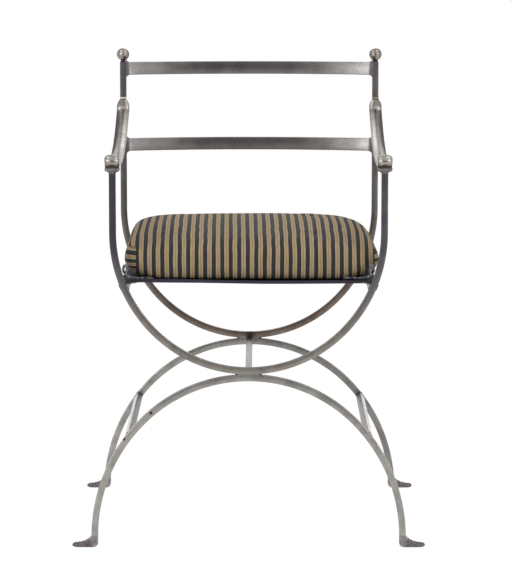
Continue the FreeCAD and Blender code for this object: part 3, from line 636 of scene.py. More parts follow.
# The rings lie closer together near the posts, where the hollow curves are.
turn = bow_angle * np.sign(share) * (1 - (1 - np.abs(share)) ** 1.6)
to_post = half_span - bow_radius * np.sin(np.abs(turn))
hollow = HOLLOW_RISE * (1 - np.sqrt(1 - (1 - share_of(to_post, HOLLOW_LENGTH)) ** 2))
rings = np.array([rounded_box(RAIL_THICKNESS, RAIL_HEIGHT + 2 * rise, RAIL_EDGE_RADIUS) for rise in hollow])
radius = bow_radius + rings[..., 0]
x = radius * np.sin(turn)[:, None]
x[[0, -1]] = np.array([[-half_span], [half_span]])
back = SPACING + RAIL_BOW - bow_radius + radius * np.cos(turn)[:, None]
blue_tint = share_of(BLUED_LENGTH + BLUED_FADE / 2 - to_post, BLUED_FADE)
for label, drop in (("top", TOP_RAIL_DROP), ("lower", LOWER_RAIL_DROP)):
    up = REAR_POST_TOP - drop + rings[..., 1]
    made = solid(label + "_rail_bar", stand(np.stack([x, back, up], -1)), rail_steel)
    set_in(made, "rail_steel", label + "_back_rail")
    mark_scale_and_shade(made, np.broadcast_to(blue_tint[:, None], x.shape))


# Finials. A turned and polished 24 mm ball on a short neck, welded on top of each rear post. The neck
# flares to the post and is left dark.
SIDES = (("left", -1), ("right", 1))
BALL_RADIUS = 0.012
NECK_RADIUS = 0.0045
NECK_HEIGHT = 0.0034
NECK_FLARE = 0.0012
NECK_FADE = 0.0015
polished_steel = brushed_steel("polished_steel_balls", "#99908a", "#7d746e", "#99908a", 0.14, scratch=0.1,
                               scale_and_shade="#3f3a3e")
ball_lift = math.sqrt(BALL_RADIUS ** 2 - NECK_RADIUS ** 2)
polar = np.linspace(math.asin(NECK_RADIUS / BALL_RADIUS), math.pi - 0.02, 40)
ball_r = BALL_RADIUS * np.sin(polar)
ball_z = NECK_HEIGHT + ball_lift - BALL_RADIUS * np.cos(polar)
neck = np.linspace(0, 1, 8)
neck_r = NECK_RADIUS + NECK_FLARE * (1 - neck) ** 2
profile_r = np.concatenate([neck_r, ball_r[1:]])
profile_z = np.concatenate([NECK_HEIGHT * neck, ball_z[1:]])
necked = 1 - share_of(profile_z - NECK_HEIGHT, NECK_FADE)
spin = np.linspace(0, 2 * math.pi, 57)[:-1]
for side_name, hand in SIDES:
    x = hand * POST_HALF_SPAN + profile_r[:, None] * np.cos(spin)
    back = SPACING + profile_r[:, None] * np.sin(spin)
    up = np.broadcast_to((REAR_POST_TOP + profile_z)[:, None], x.shape)
    rings = stand(np.stack([x, back, up], -1))
    made = set_in(solid(side_name + "_ball", rings, polished_steel, 50), "arm_steel", side_name + "_finial")
    mark_scale_and_shade(made, np.broadcast_to(necked[:, None], x.shape))


# Arms. Half round bar, 24 mm wide, polished. The upper end is rounded like a thumb and welded to the
# front of the rear post; the bar sweeps down and forward, rises, and rolls over at the front.
ARM_WIDTH = 0.024
ARM_EDGE = 0.0022
ARM_CROWN = 0.0074
ROLL_WIDTH = 0.0264
ROLL_EDGE = 0.0016
ROLL_CROWN = 0.0085
CAP_THICKNESS = 0.007
THUMB_LENGTH = 0.019
# The share of its edge and of its crown that the bar has at the thumb's start.
THUMB_EDGE = 0.35
THUMB_CROWN = 0.30
# The line of the bar, from the shoulder at the rear post to the roll in front.
SHOULDER = 0.004
BEND_RADIUS = 0.028
SWEEP_RADIUS = 0.720
SWEEP_ANGLE = math.radians(25)
RISE_RADIUS = 0.036
RISE_ANGLE = math.radians(55)
ROLL_RADIUS = 0.0035
ROLL_OVERHANG = 0.001
ROLL_STEPS = 34
ROLL_BLEND = 0.040
# Painted shade darkens the hollow under each roll, and painted dark reflection darkens the outer side of the
# thumb.
ROLL_SHADE_ABOVE_POST = 0.0080
ROLL_SHADE_ARCH = 0.0072
ROLL_SHADE_FADE = 0.0020
# The painted shade under the roll goes only in front of this place, behind the front frame.
UNDER_ROLL = 0.02
THUMB_SHADE = 0.6
OUTER_SIDE = 0.60
OUTER_FADE = 0.3
THUMB_SHADE_LENGTH = 0.024
THUMB_SHADE_FADE = 0.006
arm_back = SPACING - BAR / 2
roll_back = -BAR / 2 - ROLL_OVERHANG
roll_z = FRONT_POST_TOP + CAP_THICKNESS + ROLL_RADIUS + ROLL_CROWN
rise_end = (roll_back + ROLL_RADIUS * math.sin(RISE_ANGLE), roll_z + ROLL_RADIUS * math.cos(RISE_ANGLE))
rise_back = rise_end[0] + RISE_RADIUS * math.sin(RISE_ANGLE)
arm_level = rise_end[1] - RISE_RADIUS * (1 - math.cos(RISE_ANGLE))
bend_back = arm_back - BEND_RADIUS
sweep_top = (bend_back + BEND_RADIUS * math.sin(SWEEP_ANGLE),
             arm_level + SWEEP_RADIUS * (1 - math.cos(SWEEP_ANGLE)))
bend_z = sweep_top[1] + BEND_RADIUS * math.cos(SWEEP_ANGLE)
sweep_back = sweep_top[0] - SWEEP_RADIUS * math.sin(SWEEP_ANGLE)
arm_top = bend_z + SHOULDER


def arc(centre, radius, first, last, steps):
    """Points of an arc in the side view and the direction of travel there, angles in degrees."""
    angle = np.radians(np.linspace(first, last, steps))
    way = np.sign(last - first)
    points = np.stack([centre[0] + radius * np.cos(angle), centre[1] + radius * np.sin(angle)], 1)
    travel = way * np.stack([-np.sin(angle), np.cos(angle)], 1)
    return points, travel


sweep_deg, rise_deg = math.degrees(SWEEP_ANGLE), math.degrees(RISE_ANGLE)
shoulder = np.stack([np.full(9, arm_back), np.linspace(arm_top, bend_z, 10)[:-1]], 1)
runs = [
    (shoulder, np.tile([0.0, -1.0], (9, 1))),
    arc((bend_back, bend_z), BEND_RADIUS, 0, sweep_deg - 90, 26),
    arc((sweep_back, arm_level + SWEEP_RADIUS), SWEEP_RADIUS, sweep_deg - 90, -90, 40),
    arc((rise_back, arm_level + RISE_RADIUS), RISE_RADIUS, -90, -90 - rise_deg, 22),
    arc((roll_back, roll_z), ROLL_RADIUS, 90 - rise_deg, 275, ROLL_STEPS),
]
line = np.concatenate([runs[0][0]] + [run[0][1:] for run in runs[1:]])
travel = np.concatenate([runs[0][1]] + [run[1][1:] for run in runs[1:]])
crown_way = np.stack([travel[:, 1], -travel[:, 0]], 1)
gone = np.concatenate([[0], np.cumsum(np.linalg.norm(np.diff(line, axis=0), axis=1))])
# The section: a half round on a flat edge. It starts as a thumb's quarter circle, and blends into the
# wider, thinner edged section of the roll just before the roll begins.
thumb = np.sqrt(np.clip(1 - (1 - np.clip(gone / THUMB_LENGTH, 0.0006, 1)) ** 2, 0, 1))
to_roll = share_of(gone - (gone[-ROLL_STEPS] - ROLL_BLEND), ROLL_BLEND)
to_roll = to_roll * to_roll * (3 - 2 * to_roll)
half_wide = (ARM_WIDTH + (ROLL_WIDTH - ARM_WIDTH) * to_roll) / 2 * thumb
edge = (ARM_EDGE + (ROLL_EDGE - ARM_EDGE) * to_roll) * (THUMB_EDGE + (1 - THUMB_EDGE) * thumb)
crown = (ARM_CROWN + (ROLL_CROWN - ARM_CROWN) * to_roll) * (THUMB_CROWN + (1 - THUMB_CROWN) * thumb)
over = np.linspace(0, math.pi, 33)
across = np.concatenate([np.cos(over), [-0.97, 0.97]])
lift = np.concatenate([np.sin(over), [0.0, 0.0]])
base = np.concatenate([np.ones(33), [0.0, 0.0]])
height = base * edge[:, None] + lift * (crown - edge)[:, None]
back = line[:, None, 0] + height * crown_way[:, None, 0]
up = line[:, None, 1] + height * crown_way[:, None, 1]
roll_shade_top = FRONT_POST_TOP + ROLL_SHADE_ABOVE_POST + ROLL_SHADE_ARCH * (1 - across ** 2)
under = share_of(roll_shade_top - up, ROLL_SHADE_FADE) * (line[:, None, 0] < UNDER_ROLL)
at_thumb = THUMB_SHADE * share_of(THUMB_SHADE_LENGTH - gone, THUMB_SHADE_FADE)[:, None]
arm_steel = brushed_steel("polished_half_round_bar", "#a5a19a", "#827e78", "#a5a19a", 0.27, cloud_mm=30,
                          scratch=0.25, scale_and_shade="#4a4444", bump=0.03)
for side_name, hand in SIDES:
    x = hand * POST_HALF_SPAN + across * half_wide[:, None]
    rings = stand(np.stack([x, back, up], -1))
    made = set_in(solid(side_name + "_arm_bar", rings, arm_steel, 50), "arm_steel", side_name + "_arm")
    outer = share_of(OUTER_SIDE + hand * across, OUTER_FADE)
    # Painted shade under the roll, and painted dark reflection on the thumb's outer side.
    mark_scale_and_shade(made, np.maximum(under, at_thumb * outer))


# Arm caps. A forged block of steel, 27 by 25 by 7 mm, between each front post and the roll of its arm,
# with a rounded lip in front and a little weld round the post. It is left duller than the arm, and its
# top, under the roll, is darkened with painted shade.
CAP_WIDTH = 0.0268
CAP_DEPTH = 0.0250
CAP_CORNER = 0.005
CAP_SHADE_START = 0.0066
CAP_SHADE_FADE = 0.0008
cap_steel = brushed_steel("dull_forged_cap", "#8d8487", "#6a6166", "#8d8487", 0.36, cloud_mm=8,
                          scale_and_shade="#4a4444")


def pillow_rings(profile, radius):
    """Rings of a rounded block, from the bottom up. Each line of the profile is a height, a width, a
    depth and how far the ring is set back; the corner radius is kept where there is room."""
    rings = []
    for height, wide, deep, shift in profile:
        outline = rounded_box(wide, deep, radius, 6)
        rings.append(np.concatenate([outline + (0, shift), np.full((len(outline), 1), height)], 1))
    return np.array(rings)


cap_profile = [
    (-0.0030, BAR + 0.0006, BAR + 0.0006, 0), (-0.0016, BAR + 0.0020, BAR + 0.0020, 0),
    (-0.0006, BAR + 0.0050, BAR + 0.0050, 0), (0.0000, CAP_WIDTH - 0.0080, CAP_DEPTH - 0.0080, 0),
    (0.0006, CAP_WIDTH - 0.0040, CAP_DEPTH - 0.0040, 0), (0.0018, CAP_WIDTH - 0.0012, CAP_DEPTH - 0.0012, 0),
    (0.0036, CAP_WIDTH, CAP_DEPTH, 0), (0.0056, CAP_WIDTH, CAP_DEPTH, 0),
    (0.0066, CAP_WIDTH - 0.0008, CAP_DEPTH - 0.0008, 0), (0.0070, CAP_WIDTH - 0.0024, CAP_DEPTH - 0.0010, 0),
    (0.0080, CAP_WIDTH - 0.0020, CAP_DEPTH, -0.0015), (0.0110, CAP_WIDTH - 0.0016, CAP_DEPTH, -0.0025),
    (0.0140, CAP_WIDTH - 0.0022, CAP_DEPTH - 0.0030, -0.0030),
    (0.0162, CAP_WIDTH - 0.0060, CAP_DEPTH - 0.0080, -0.0035),
    (0.0172, CAP_WIDTH - 0.0120, CAP_DEPTH - 0.0150, -0.0040),
]
cap = pillow_rings(cap_profile, CAP_CORNER)
# Painted shade on the cap's top, under the roll.
cap_shade = share_of(cap[..., 2] - CAP_SHADE_START, CAP_SHADE_FADE)
for side_name, hand in SIDES:
    rings = stand(cap + (hand * POST_HALF_SPAN, 0, FRONT_POST_TOP))
    made = set_in(solid(side_name + "_cap_block", rings, cap_steel, 50), "arm_steel", side_name + "_arm_cap")
    mark_scale_and_shade(made, cap_shade)


# Shoulder welds. A short bead that was filled and filed across the front of each rear post, just above
# the rounded end of the arm. It is brighter than the post, the right one straw coloured from heat.
SHOULDER_WELD = [(-0.0012, 0.0120, 0.0060, -0.0010), (0.0004, 0.0128, 0.0072, -0.0016),
                 (0.0020, 0.0130, 0.0066, -0.0014), (0.0034, 0.0128, 0.0050, -0.0006),
                 (0.0046, 0.0118, 0.0020, 0)]
SHOULDER_WELD_CORNER = 0.0012
SHOULDER_WELD_BACK = arm_back - 0.0006
SHOULDER_WELD_LEVEL = arm_top - 0.0014
weld_metals = (brushed_steel("filed_weld_bright", "#cfccc2", "#a9a69c", "#cfccc2", 0.34, cloud_mm=5),
               brushed_steel("filed_weld_straw", "#8f8b78", "#726e5c", "#8f8b78", 0.38, cloud_mm=5))
bead = pillow_rings(SHOULDER_WELD, SHOULDER_WELD_CORNER)
for (side_name, hand), metal in zip(SIDES, weld_metals):
    rings = stand(bead + (hand * POST_HALF_SPAN, SHOULDER_WELD_BACK, SHOULDER_WELD_LEVEL))
    set_in(solid(side_name + "_shoulder_weld", rings, metal, 50), "arm_steel")


# Sling. Black canvas stretched over the two seat rails from side to side, turned over them and sewn
# under. Its front and rear edges are hemmed over a cord, which makes them thick and round; the hem
# rides up a little towards the left.
SLING_LOW_OFFSET = BAR / 2 + 0.0003
SLING_THICKNESS = 0.005
CANVAS = 0.0016
CANVAS_OFFSET = 0.0003 + CANVAS / 2
HEM_THICKNESS = 0.0062
HEM_LENGTH = 0.009
HEM_FADE = 0.003
HEM_LEFT_RISE = 0.0026
HEM_RISE_START = 0.03
HEM_RISE_LENGTH = 0.15
# How much of the hem's thickness is left above and below the cloth's middle on the rails.
HEM_SHARE_ABOVE = 0.8
HEM_SHARE_BELOW = 0.45
SLING_WRAP = 0.0105
SLING_SAG = 0.0012
FLAT_LIFT = 0.0012
FLAT_GAP = 0.004
WRAP_START = 0.001
TIE_WIDTH = 0.008
TIE_INSET = 0.0025
SLING_TIE_GAP = 0.0035
SLING_LOW = RAIL_Z + SLING_LOW_OFFSET * (math.sin(RAIL_ANGLE) + math.cos(RAIL_ANGLE))
SLING_TOP = SLING_LOW + SLING_THICKNESS
SLING_END = BAR / 2 + TIE_INSET + TIE_WIDTH + SLING_TIE_GAP
# The threads are 0.5 mm apart; drawn 1.6 mm apart, so that the weave shows. A wave texture draws about
# 3.1 bands to the metre at scale 1.
THREAD_PITCH = 0.0016
BANDS_PER_METRE = 3.1
# The right seat rail's own axes: its outward normal and its upward tangent.
RAIL_OUT = np.array([math.cos(RAIL_ANGLE), -math.sin(RAIL_ANGLE)])
RAIL_UP = np.array([math.sin(RAIL_ANGLE), math.cos(RAIL_ANGLE)])


def around_rail(offset, reach, corner=0.0022):
    """Points of a line drawn round the right seat rail at an offset from its faces: along its upper
    face, round the upper outer corner in an arc, and down its outer face for the reach."""
    half = BAR / 2 + offset
    arc_angle = np.linspace(math.pi / 2, 0, 6)
    inner = np.linspace(-half + WRAP_START, half - corner, 4)[:-1]
    along = np.concatenate([inner, half - corner + corner * np.cos(arc_angle), [half]])
    rise = np.concatenate([np.full(3, half), half - corner + corner * np.sin(arc_angle), [half - reach]])
    return (RAIL_X, RAIL_Z) + along[:, None] * RAIL_OUT + rise[:, None] * RAIL_UP


# Each ring is an outline of the cloth at one distance from the front. How thick it is there follows a
# half circle on the outer half of the hem and then a bell curve.
backs = np.concatenate([SLING_END + HEM_LENGTH * (1 - np.cos(np.linspace(0, math.pi / 2, 9))),
                        np.linspace(SLING_END + 0.03, SPACING / 2, 6)])
backs = np.concatenate([backs, SPACING - backs[-2::-1]])
inward = np.minimum(backs - SLING_END, SPACING - SLING_END - backs)
outer_half = np.sqrt(np.clip(1 - (2 * inward / HEM_LENGTH - 1) ** 2, 0.02, 1))
inner_half = np.exp(-((inward - HEM_LENGTH / 2) / HEM_FADE) ** 2)
roll = np.where(inward < HEM_LENGTH / 2, outer_half, inner_half)
share = np.linspace(-1, 1, 41)[1:-1]
rings = []
for back, swell in zip(backs, roll):
    half_thick = (CANVAS + (HEM_THICKNESS - CANVAS) * swell) / 2
    edges = []
    for side, wrap_share in ((1, HEM_SHARE_ABOVE), (-1, HEM_SHARE_BELOW)):
        wrap = around_rail(CANVAS_OFFSET + side * half_thick * wrap_share, SLING_WRAP)
        across = share * (wrap[0, 0] - FLAT_GAP)
        up = SLING_LOW + FLAT_LIFT + CANVAS / 2 + side * half_thick - SLING_SAG * (1 - share ** 2)
        up = up + HEM_LEFT_RISE * swell * share_of(HEM_RISE_START - across, HEM_RISE_LENGTH)
        edges.append(np.concatenate([wrap[::-1] * (-1, 1), np.stack([across, up], 1), wrap])[::side])
    outline = np.concatenate(edges)
    rings.append(np.stack([outline[:, 0], np.full(len(outline), back), outline[:, 1]], 1))
canvas, tree = empty_material("black_woven_canvas")
place = add(tree, "TexCoord")
warp, weft = (add(tree, "TexWave", {"Scale": 1 / THREAD_PITCH / BANDS_PER_METRE, "bands_direction": way,
                                    "Distortion": 0.4}, {"Vector": place.outputs["Object"]})
              for way in "XY")
weave = add(tree, "Math", {"operation": "MULTIPLY"}, {0: warp.outputs["Fac"], 1: weft.outputs["Fac"]})
fade = add(tree, "TexNoise", {"Scale": 40.0, "Detail": 3.0}, {"Vector": place.outputs["Object"]})
tint = add(tree, "Mix", {"data_type": "RGBA", 6: linear("#2a2831"), 7: linear("#3b3944")},
           {0: fade.outputs["Fac"]})
relief = add(tree, "Bump", {"Strength": 0.5, "Distance": 0.0003}, {"Height": weave})
matt_cloth = add(tree, "BsdfPrincipled", {"Roughness": 0.75, "Specular IOR Level": 0.3},
                 {"Base Color": tint.outputs[2], "Normal": relief})
add(tree, "OutputMaterial", {}, {"Surface": matt_cloth})
sling = set_in(solid("canvas_sling", stand(np.array(rings)), canvas, 50), "sling_canvas", "seat_sling")


# Cushion. A foam pad in a sewn cover of striped cloth, gold on navy. The top and the front are one
# piece of cloth whose stripes run front to back; separate side bands have theirs running level. The
# pad is blown up against its seams by a cloth simulation, and lies a little askew, as in use.
CUSHION_WIDTH = 0.4605
CUSHION_DEPTH = 0.414
# The corner radii: rear right, rear left, front left, front right, and how they grow inwards.
CORNER_RADII = (0.088, 0.040, 0.037, 0.037)
CORNER_GROWTH = 1.1
CORNER_STEPS = 13
CUSHION_SHIFT = 0.004
CUSHION_ASKEW = math.radians(0.5)
CUSHION_FLOOR = SLING_TOP - 0.0018
# The side bands lie between two levels and begin at a seam on each side.
LOW_SEAM = 0.012
HIGH_SEAM = 0.060
LEFT_SEAM_X = 0.2080
RIGHT_SEAM_X = 0.2220
SEAM_DEPTH = 0.0014
SEAM_SPREAD = 0.0035
# The cloth is held within a quarter of the spread from a seam, less and less beyond, and on its base.
SEWN_SPREAD = 0.006
SEWN_FULL = 1.25
HELD_BELOW = 0.0012
BAND_MARGIN = 0.003
BAND_START = -0.002
VOXEL = 0.005
PRESSURE = 4.0
FRAMES = 20
MOST_SWELL = 0.0050
# The front begins this far in front of the middle and is full after the same length again.
FRONT_START = 0.10
FRONT_FADE = 0.10
# The lift of the front corners: how much, from where outwards, and up to which height.
CORNER_LIFT = 0.009
LIFT_START = 0.160
LIFT_FADE = 0.050
LIFT_TOP = 0.034
TOP_START = 0.055
TOP_FADE = 0.025
DISH = 0.0035
DISH_HALF_WIDTH = 0.135
DISH_FADE = 0.060
FULLNESS = 0.0022
FULL_X = 0.160
FULL_SPREAD = 0.040
RIPPLE = 0.0006
RIPPLE_LEVEL = 0.052
RIPPLE_SPREAD = 0.018
# The ripple's radians per metre across the front, and by how much and how often it drifts.
RIPPLE_WAVES = 62
RIPPLE_DRIFT = 2.1
DRIFT_WAVES = 23
# The pad's profile: how far in from the edge, then the height there at the right and the rear, in
# front, and at the left, where the filling is fuller.
CUSHION_PROFILE = (
    (0.1860, 0.0000, 0.0000, 0.0000), (0.1200, 0.0000, 0.0000, 0.0000), (0.0600, 0.0000, 0.0000, 0.0000),
    (0.0290, 0.0000, 0.0000, 0.0000), (0.0190, 0.0028, 0.0026, 0.0028), (0.0120, 0.0070, 0.0068, 0.0070),
    (0.0074, 0.0120, 0.0122, 0.0120), (0.0038, 0.0190, 0.0198, 0.0190), (0.0012, 0.0280, 0.0290, 0.0280),
    (0.0000, 0.0380, 0.0390, 0.0380), (0.0006, 0.0450, 0.0480, 0.0455), (0.0036, 0.0515, 0.0550, 0.0545),
    (0.0092, 0.0600, 0.0612, 0.0655), (0.0168, 0.0680, 0.0662, 0.0735), (0.0282, 0.0775, 0.0700, 0.0805),
    (0.0422, 0.0840, 0.0736, 0.0855), (0.0614, 0.0858, 0.0772, 0.0868), (0.0863, 0.0868, 0.0808, 0.0876),
    (0.1260, 0.0877, 0.0848, 0.0880), (0.1860, 0.0885, 0.0885, 0.0885))


def taken_as_is(made):
    """A copy of a piece's mesh with its modifiers worked in."""
    return bpy.data.meshes.new_from_object(made.evaluated_get(bpy.context.evaluated_depsgraph_get()))


def vectors(mesh, kind):
    """The places (co) or the normals (normal) of a mesh's points, one row each."""
    flat = np.zeros(len(mesh.vertices) * 3, np.float32)
    mesh.vertices.foreach_get(kind, flat)
    return flat.reshape(-1, 3).astype(float)


def even_out(made):
    """Smooths a piece's mesh a little, with its outline kept."""
    evened = made.modifiers.new("evened", "SMOOTH")
    evened.factor = 0.5
    evened.iterations = 3


looks_right, looks_back = facing(CORNER_STEPS)
in_front = np.clip(-looks_back, 0, 1) ** 2
on_left = np.clip(-looks_right, 0, 1) ** 2
rings = []
for inset, side_height, front_height, left_height in CUSHION_PROFILE:
    radii = [radius + CORNER_GROWTH * inset for radius in CORNER_RADII]
    flat = rounded_box(CUSHION_WIDTH - 2 * inset, CUSHION_DEPTH - 2 * inset, radii, CORNER_STEPS)
    height = side_height + (front_height - side_height) * in_front + (left_height - side_height) * on_left
    rings.append(np.concatenate([flat, height[:, None]], 1))
pad = solid("pad_before_filling", np.array(rings), canvas, 180)
even_mesh = pad.modifiers.new("even_mesh", "REMESH")
even_mesh.mode = "VOXEL"
even_mesh.voxel_size = VOXEL
even_mesh.use_smooth_shade = True
even_out(pad)
cover = bpy.data.objects.new("seat_cushion", taken_as_is(pad))
bpy.data.objects.remove(pad)
scene.collection.objects.link(cover)

# How far each point is from the nearest seam: the upright ones at the sides, and beyond those the
# level ones above and below the side bands.
cut = vectors(cover.data, "co")
beyond = np.where(cut[:, 0] < 0, -cut[:, 0] - LEFT_SEAM_X, cut[:, 0] - RIGHT_SEAM_X)
off_level = np.minimum(np.abs(cut[:, 2] - LOW_SEAM), np.abs(cut[:, 2] - HIGH_SEAM))
in_band = (cut[:, 2] > LOW_SEAM - BAND_MARGIN) & (cut[:, 2] < HIGH_SEAM + BAND_MARGIN)
near_seam = np.where(in_band, np.abs(beyond), 1.0)
near_seam = np.where(beyond > BAND_START, np.minimum(near_seam, off_level), near_seam)
filled = cut
held = cover.vertex_groups.new(name="sewn")
weight = np.clip(SEWN_FULL - near_seam / SEWN_SPREAD, 0, 1)
weight = np.where(cut[:, 2] < HELD_BELOW, 1.0, weight)
for level in np.unique(np.round(weight[weight > 0], 1)):
    chosen = np.flatnonzero(np.round(weight, 1) == level)
    held.add(chosen.tolist(), float(level), "REPLACE")
filling = cover.modifiers.new("filling", "CLOTH")
filling.settings.use_pressure = True
filling.settings.uniform_pressure_force = PRESSURE
filling.settings.vertex_group_mass = "sewn"
filling.settings.pin_stiffness = 1.0
filling.settings.quality = 6
filling.settings.effector_weights.gravity = 0
filling.point_cache.frame_start = 1
filling.point_cache.frame_end = FRAMES
for step in range(1, FRAMES + 1):
    scene.frame_set(step)
filled = vectors(taken_as_is(cover), "co")
cover.modifiers.clear()
cover.vertex_groups.clear()
scene.frame_set(1)

# The swell outwards is capped and drawn in at the seams. The front corners lift off the sling, the top
# is dished in the middle and full at its right, and the front panel ripples a little.
normals = vectors(cover.data, "normal")
outwards = np.clip(((filled - cut) * normals).sum(1), 0, None)
swell = MOST_SWELL * np.tanh(outwards / MOST_SWELL) - SEAM_DEPTH * np.exp(-(near_seam / SEAM_SPREAD) ** 2)
shape = cut + normals * swell[:, None]
front = share_of(-cut[:, 1] - FRONT_START, FRONT_FADE)
corner = share_of(np.abs(cut[:, 0]) - LIFT_START, LIFT_FADE) ** 1.3
shape[:, 2] += CORNER_LIFT * corner * front * (1 - share_of(cut[:, 2], LIFT_TOP))
topside = share_of(cut[:, 2] - TOP_START, TOP_FADE)
dish = share_of(DISH_HALF_WIDTH - np.abs(cut[:, 0]), DISH_FADE)
full = np.exp(-((cut[:, 0] - FULL_X) / FULL_SPREAD) ** 2)
shape[:, 2] += topside * (FULLNESS * full - DISH * dish * dish * (3 - 2 * dish))
wave = np.sin(cut[:, 0] * RIPPLE_WAVES + RIPPLE_DRIFT * np.sin(cut[:, 0] * DRIFT_WAVES))
ripple = wave * np.exp(-((cut[:, 2] - RIPPLE_LEVEL) / RIPPLE_SPREAD) ** 2)
shape += normals * (RIPPLE * ripple * front)[:, None]
turned_x = shape[:, 0] * math.cos(CUSHION_ASKEW) - shape[:, 1] * math.sin(CUSHION_ASKEW) + CUSHION_SHIFT
turned_y = shape[:, 0] * math.sin(CUSHION_ASKEW) + shape[:, 1] * math.cos(CUSHION_ASKEW)
placed = stand(np.stack([turned_x, turned_y + SPACING / 2, shape[:, 2] + CUSHION_FLOOR], 1))
cover.data.vertices.foreach_set("co", placed.astype(np.float32).ravel())
cover.data.attributes.new("cut", "FLOAT_VECTOR", "POINT")
cover.data.attributes["cut"].data.foreach_set("vector", cut.astype(np.float32).ravel())
cover.data.update()
even_out(cover)
finer = cover.modifiers.new("finer", "SUBSURF")
finer.levels = 1
finer.render_levels = 1

STRIPE_PITCH = 0.01533
STRIPE_START = 0.0035
BAND_STRIPE_START = 0.0068
SWAY = 0.0013
# Threads are 0.3 mm apart; drawn 1.2 mm apart along each stripe, so that the satin shows.
THREAD = (0.0012, 0.02, 0.02)
NAVY = "#302f37"
NAVY_WORN = "#3b3b3c"
GOLD = "#b19c7c"
GOLD_EDGE = "#bfab89"
GOLD_CORE = "#9d7f50"
# One pitch of the stripe from its left: a gold stripe with paler edges and a darker core, then navy.
STRIPE = [(0.0, NAVY), (0.02, GOLD_EDGE), (0.10, GOLD), (0.20, GOLD), (0.24, GOLD_CORE), (0.29, GOLD_CORE),
          (0.33, GOLD), (0.45, GOLD), (0.51, GOLD_EDGE), (0.53, NAVY), (0.76, NAVY_WORN), (1.0, NAVY)]
striped, tree = empty_material("woven_satin_stripe")
cloth_place = add(tree, "Attribute", {"attribute_name": "cut"})
split = add(tree, "SeparateXYZ", {}, {0: cloth_place.outputs["Vector"]})
wander = add(tree, "TexNoise", {"Scale": 22.0, "Detail": 1.0}, {"Vector": cloth_place.outputs["Vector"]})
sway = add(tree, "MapRange", {"To Min": -SWAY, "To Max": SWAY}, {"Value": wander.outputs["Fac"]})
# How far a point is inside a side band: beyond the upright seam and between the level ones.
left_over = add(tree, "Math", {"operation": "MULTIPLY_ADD", 1: -1.0, 2: -LEFT_SEAM_X},
                {0: split.outputs["X"]})
right_over = add(tree, "Math", {"operation": "SUBTRACT", 1: RIGHT_SEAM_X}, {0: split.outputs["X"]})
over_seam = add(tree, "Math", {"operation": "MAXIMUM"}, {0: left_over, 1: right_over})
height = add(tree, "Math", {"operation": "SUBTRACT", 1: (LOW_SEAM + HIGH_SEAM) / 2},
             {0: split.outputs["Z"]})
height = add(tree, "Math", {"operation": "ABSOLUTE"}, {0: height})
within = add(tree, "Math", {"operation": "SUBTRACT", 0: (HIGH_SEAM - LOW_SEAM) / 2}, {1: height})
band = add(tree, "Math", {"operation": "MINIMUM"}, {0: over_seam, 1: within})
on_band = add(tree, "Math", {"operation": "GREATER_THAN", 1: 0.0}, {0: band})
# The stripes count upwards on a band and from left to right elsewhere.
level_line = add(tree, "Math", {"operation": "ADD", 1: BAND_STRIPE_START}, {0: split.outputs["Z"]})
across_line = add(tree, "Math", {"operation": "ADD", 1: STRIPE_START + 40 * STRIPE_PITCH},
                  {0: split.outputs["X"]})
line_place = add(tree, "Mix", {"data_type": "FLOAT"}, {0: on_band, 2: across_line, 3: level_line})
swayed = add(tree, "Math", {"operation": "ADD"}, {0: line_place, 1: sway})
turns = add(tree, "Math", {"operation": "DIVIDE", 1: STRIPE_PITCH}, {0: swayed})
phase = add(tree, "Math", {"operation": "FRACT"}, {0: turns})
ramp = add(tree, "ValToRGB", {}, {0: phase})
stops = ramp.color_ramp.elements
stops.remove(stops[1])
stops[0].color = linear(STRIPE[0][1])
for position, hex_colour in STRIPE[1:]:
    stops.new(position).color = linear(hex_colour)
thread = add(tree, "Mapping", {"Scale": [1 / size for size in THREAD]}, {0: cloth_place.outputs["Vector"]})
slub = add(tree, "TexNoise", {"Scale": 1.0, "Detail": 2.0}, {"Vector": thread})
slub_share = add(tree, "MapRange", {"From Min": 0.3, "From Max": 0.7, "To Max": 0.30},
                 {"Value": slub.outputs["Fac"]})
woven = add(tree, "Mix", {"data_type": "RGBA", "blend_type": "MULTIPLY", 7: linear("#a59a8c")},
            {0: slub_share, 6: ramp})
# A dark line is painted along the seams of the side bands: painted shade of the crease there.
seam_gap = add(tree, "Math", {"operation": "ABSOLUTE"}, {0: band})
seam_line = add(tree, "MapRange", {"From Min": 0.0004, "From Max": 0.0016, "To Min": 0.65, "To Max": 0.0},
                {"Value": seam_gap})
seamed = add(tree, "Mix", {"data_type": "RGBA", 7: linear("#1d1a20")}, {0: seam_line, 6: woven.outputs[2]})
relief = add(tree, "Bump", {"Strength": 0.35, "Distance": 0.0003}, {"Height": slub.outputs["Fac"]})
satin = add(tree, "BsdfPrincipled", {"Roughness": 0.65, "Specular IOR Level": 0.12},
            {"Base Color": seamed.outputs[2], "Normal": relief})
add(tree, "OutputMaterial", {}, {"Surface": satin})
cover.data.materials.clear()
cover.data.materials.append(striped)
cover.data.shade_smooth()
set_in(cover, "striped_fabric", "cushion")


# Ties. Satin ribbon sewn to the cushion's corners: each goes round the bare end of a seat rail, up to a
# knot with a small curled loop, and ends in tails. The front tails lie along the edge of the sling.
RIBBON_THICKNESS = 0.0006
RIBBON_STEPS = 60
WRAP_OFFSET = 0.0001
WRAP_WIDTH = 0.006
WRAP_CORNER = 0.0015
TIE_BACK = BAR / 2 + TIE_INSET + TIE_WIDTH / 2
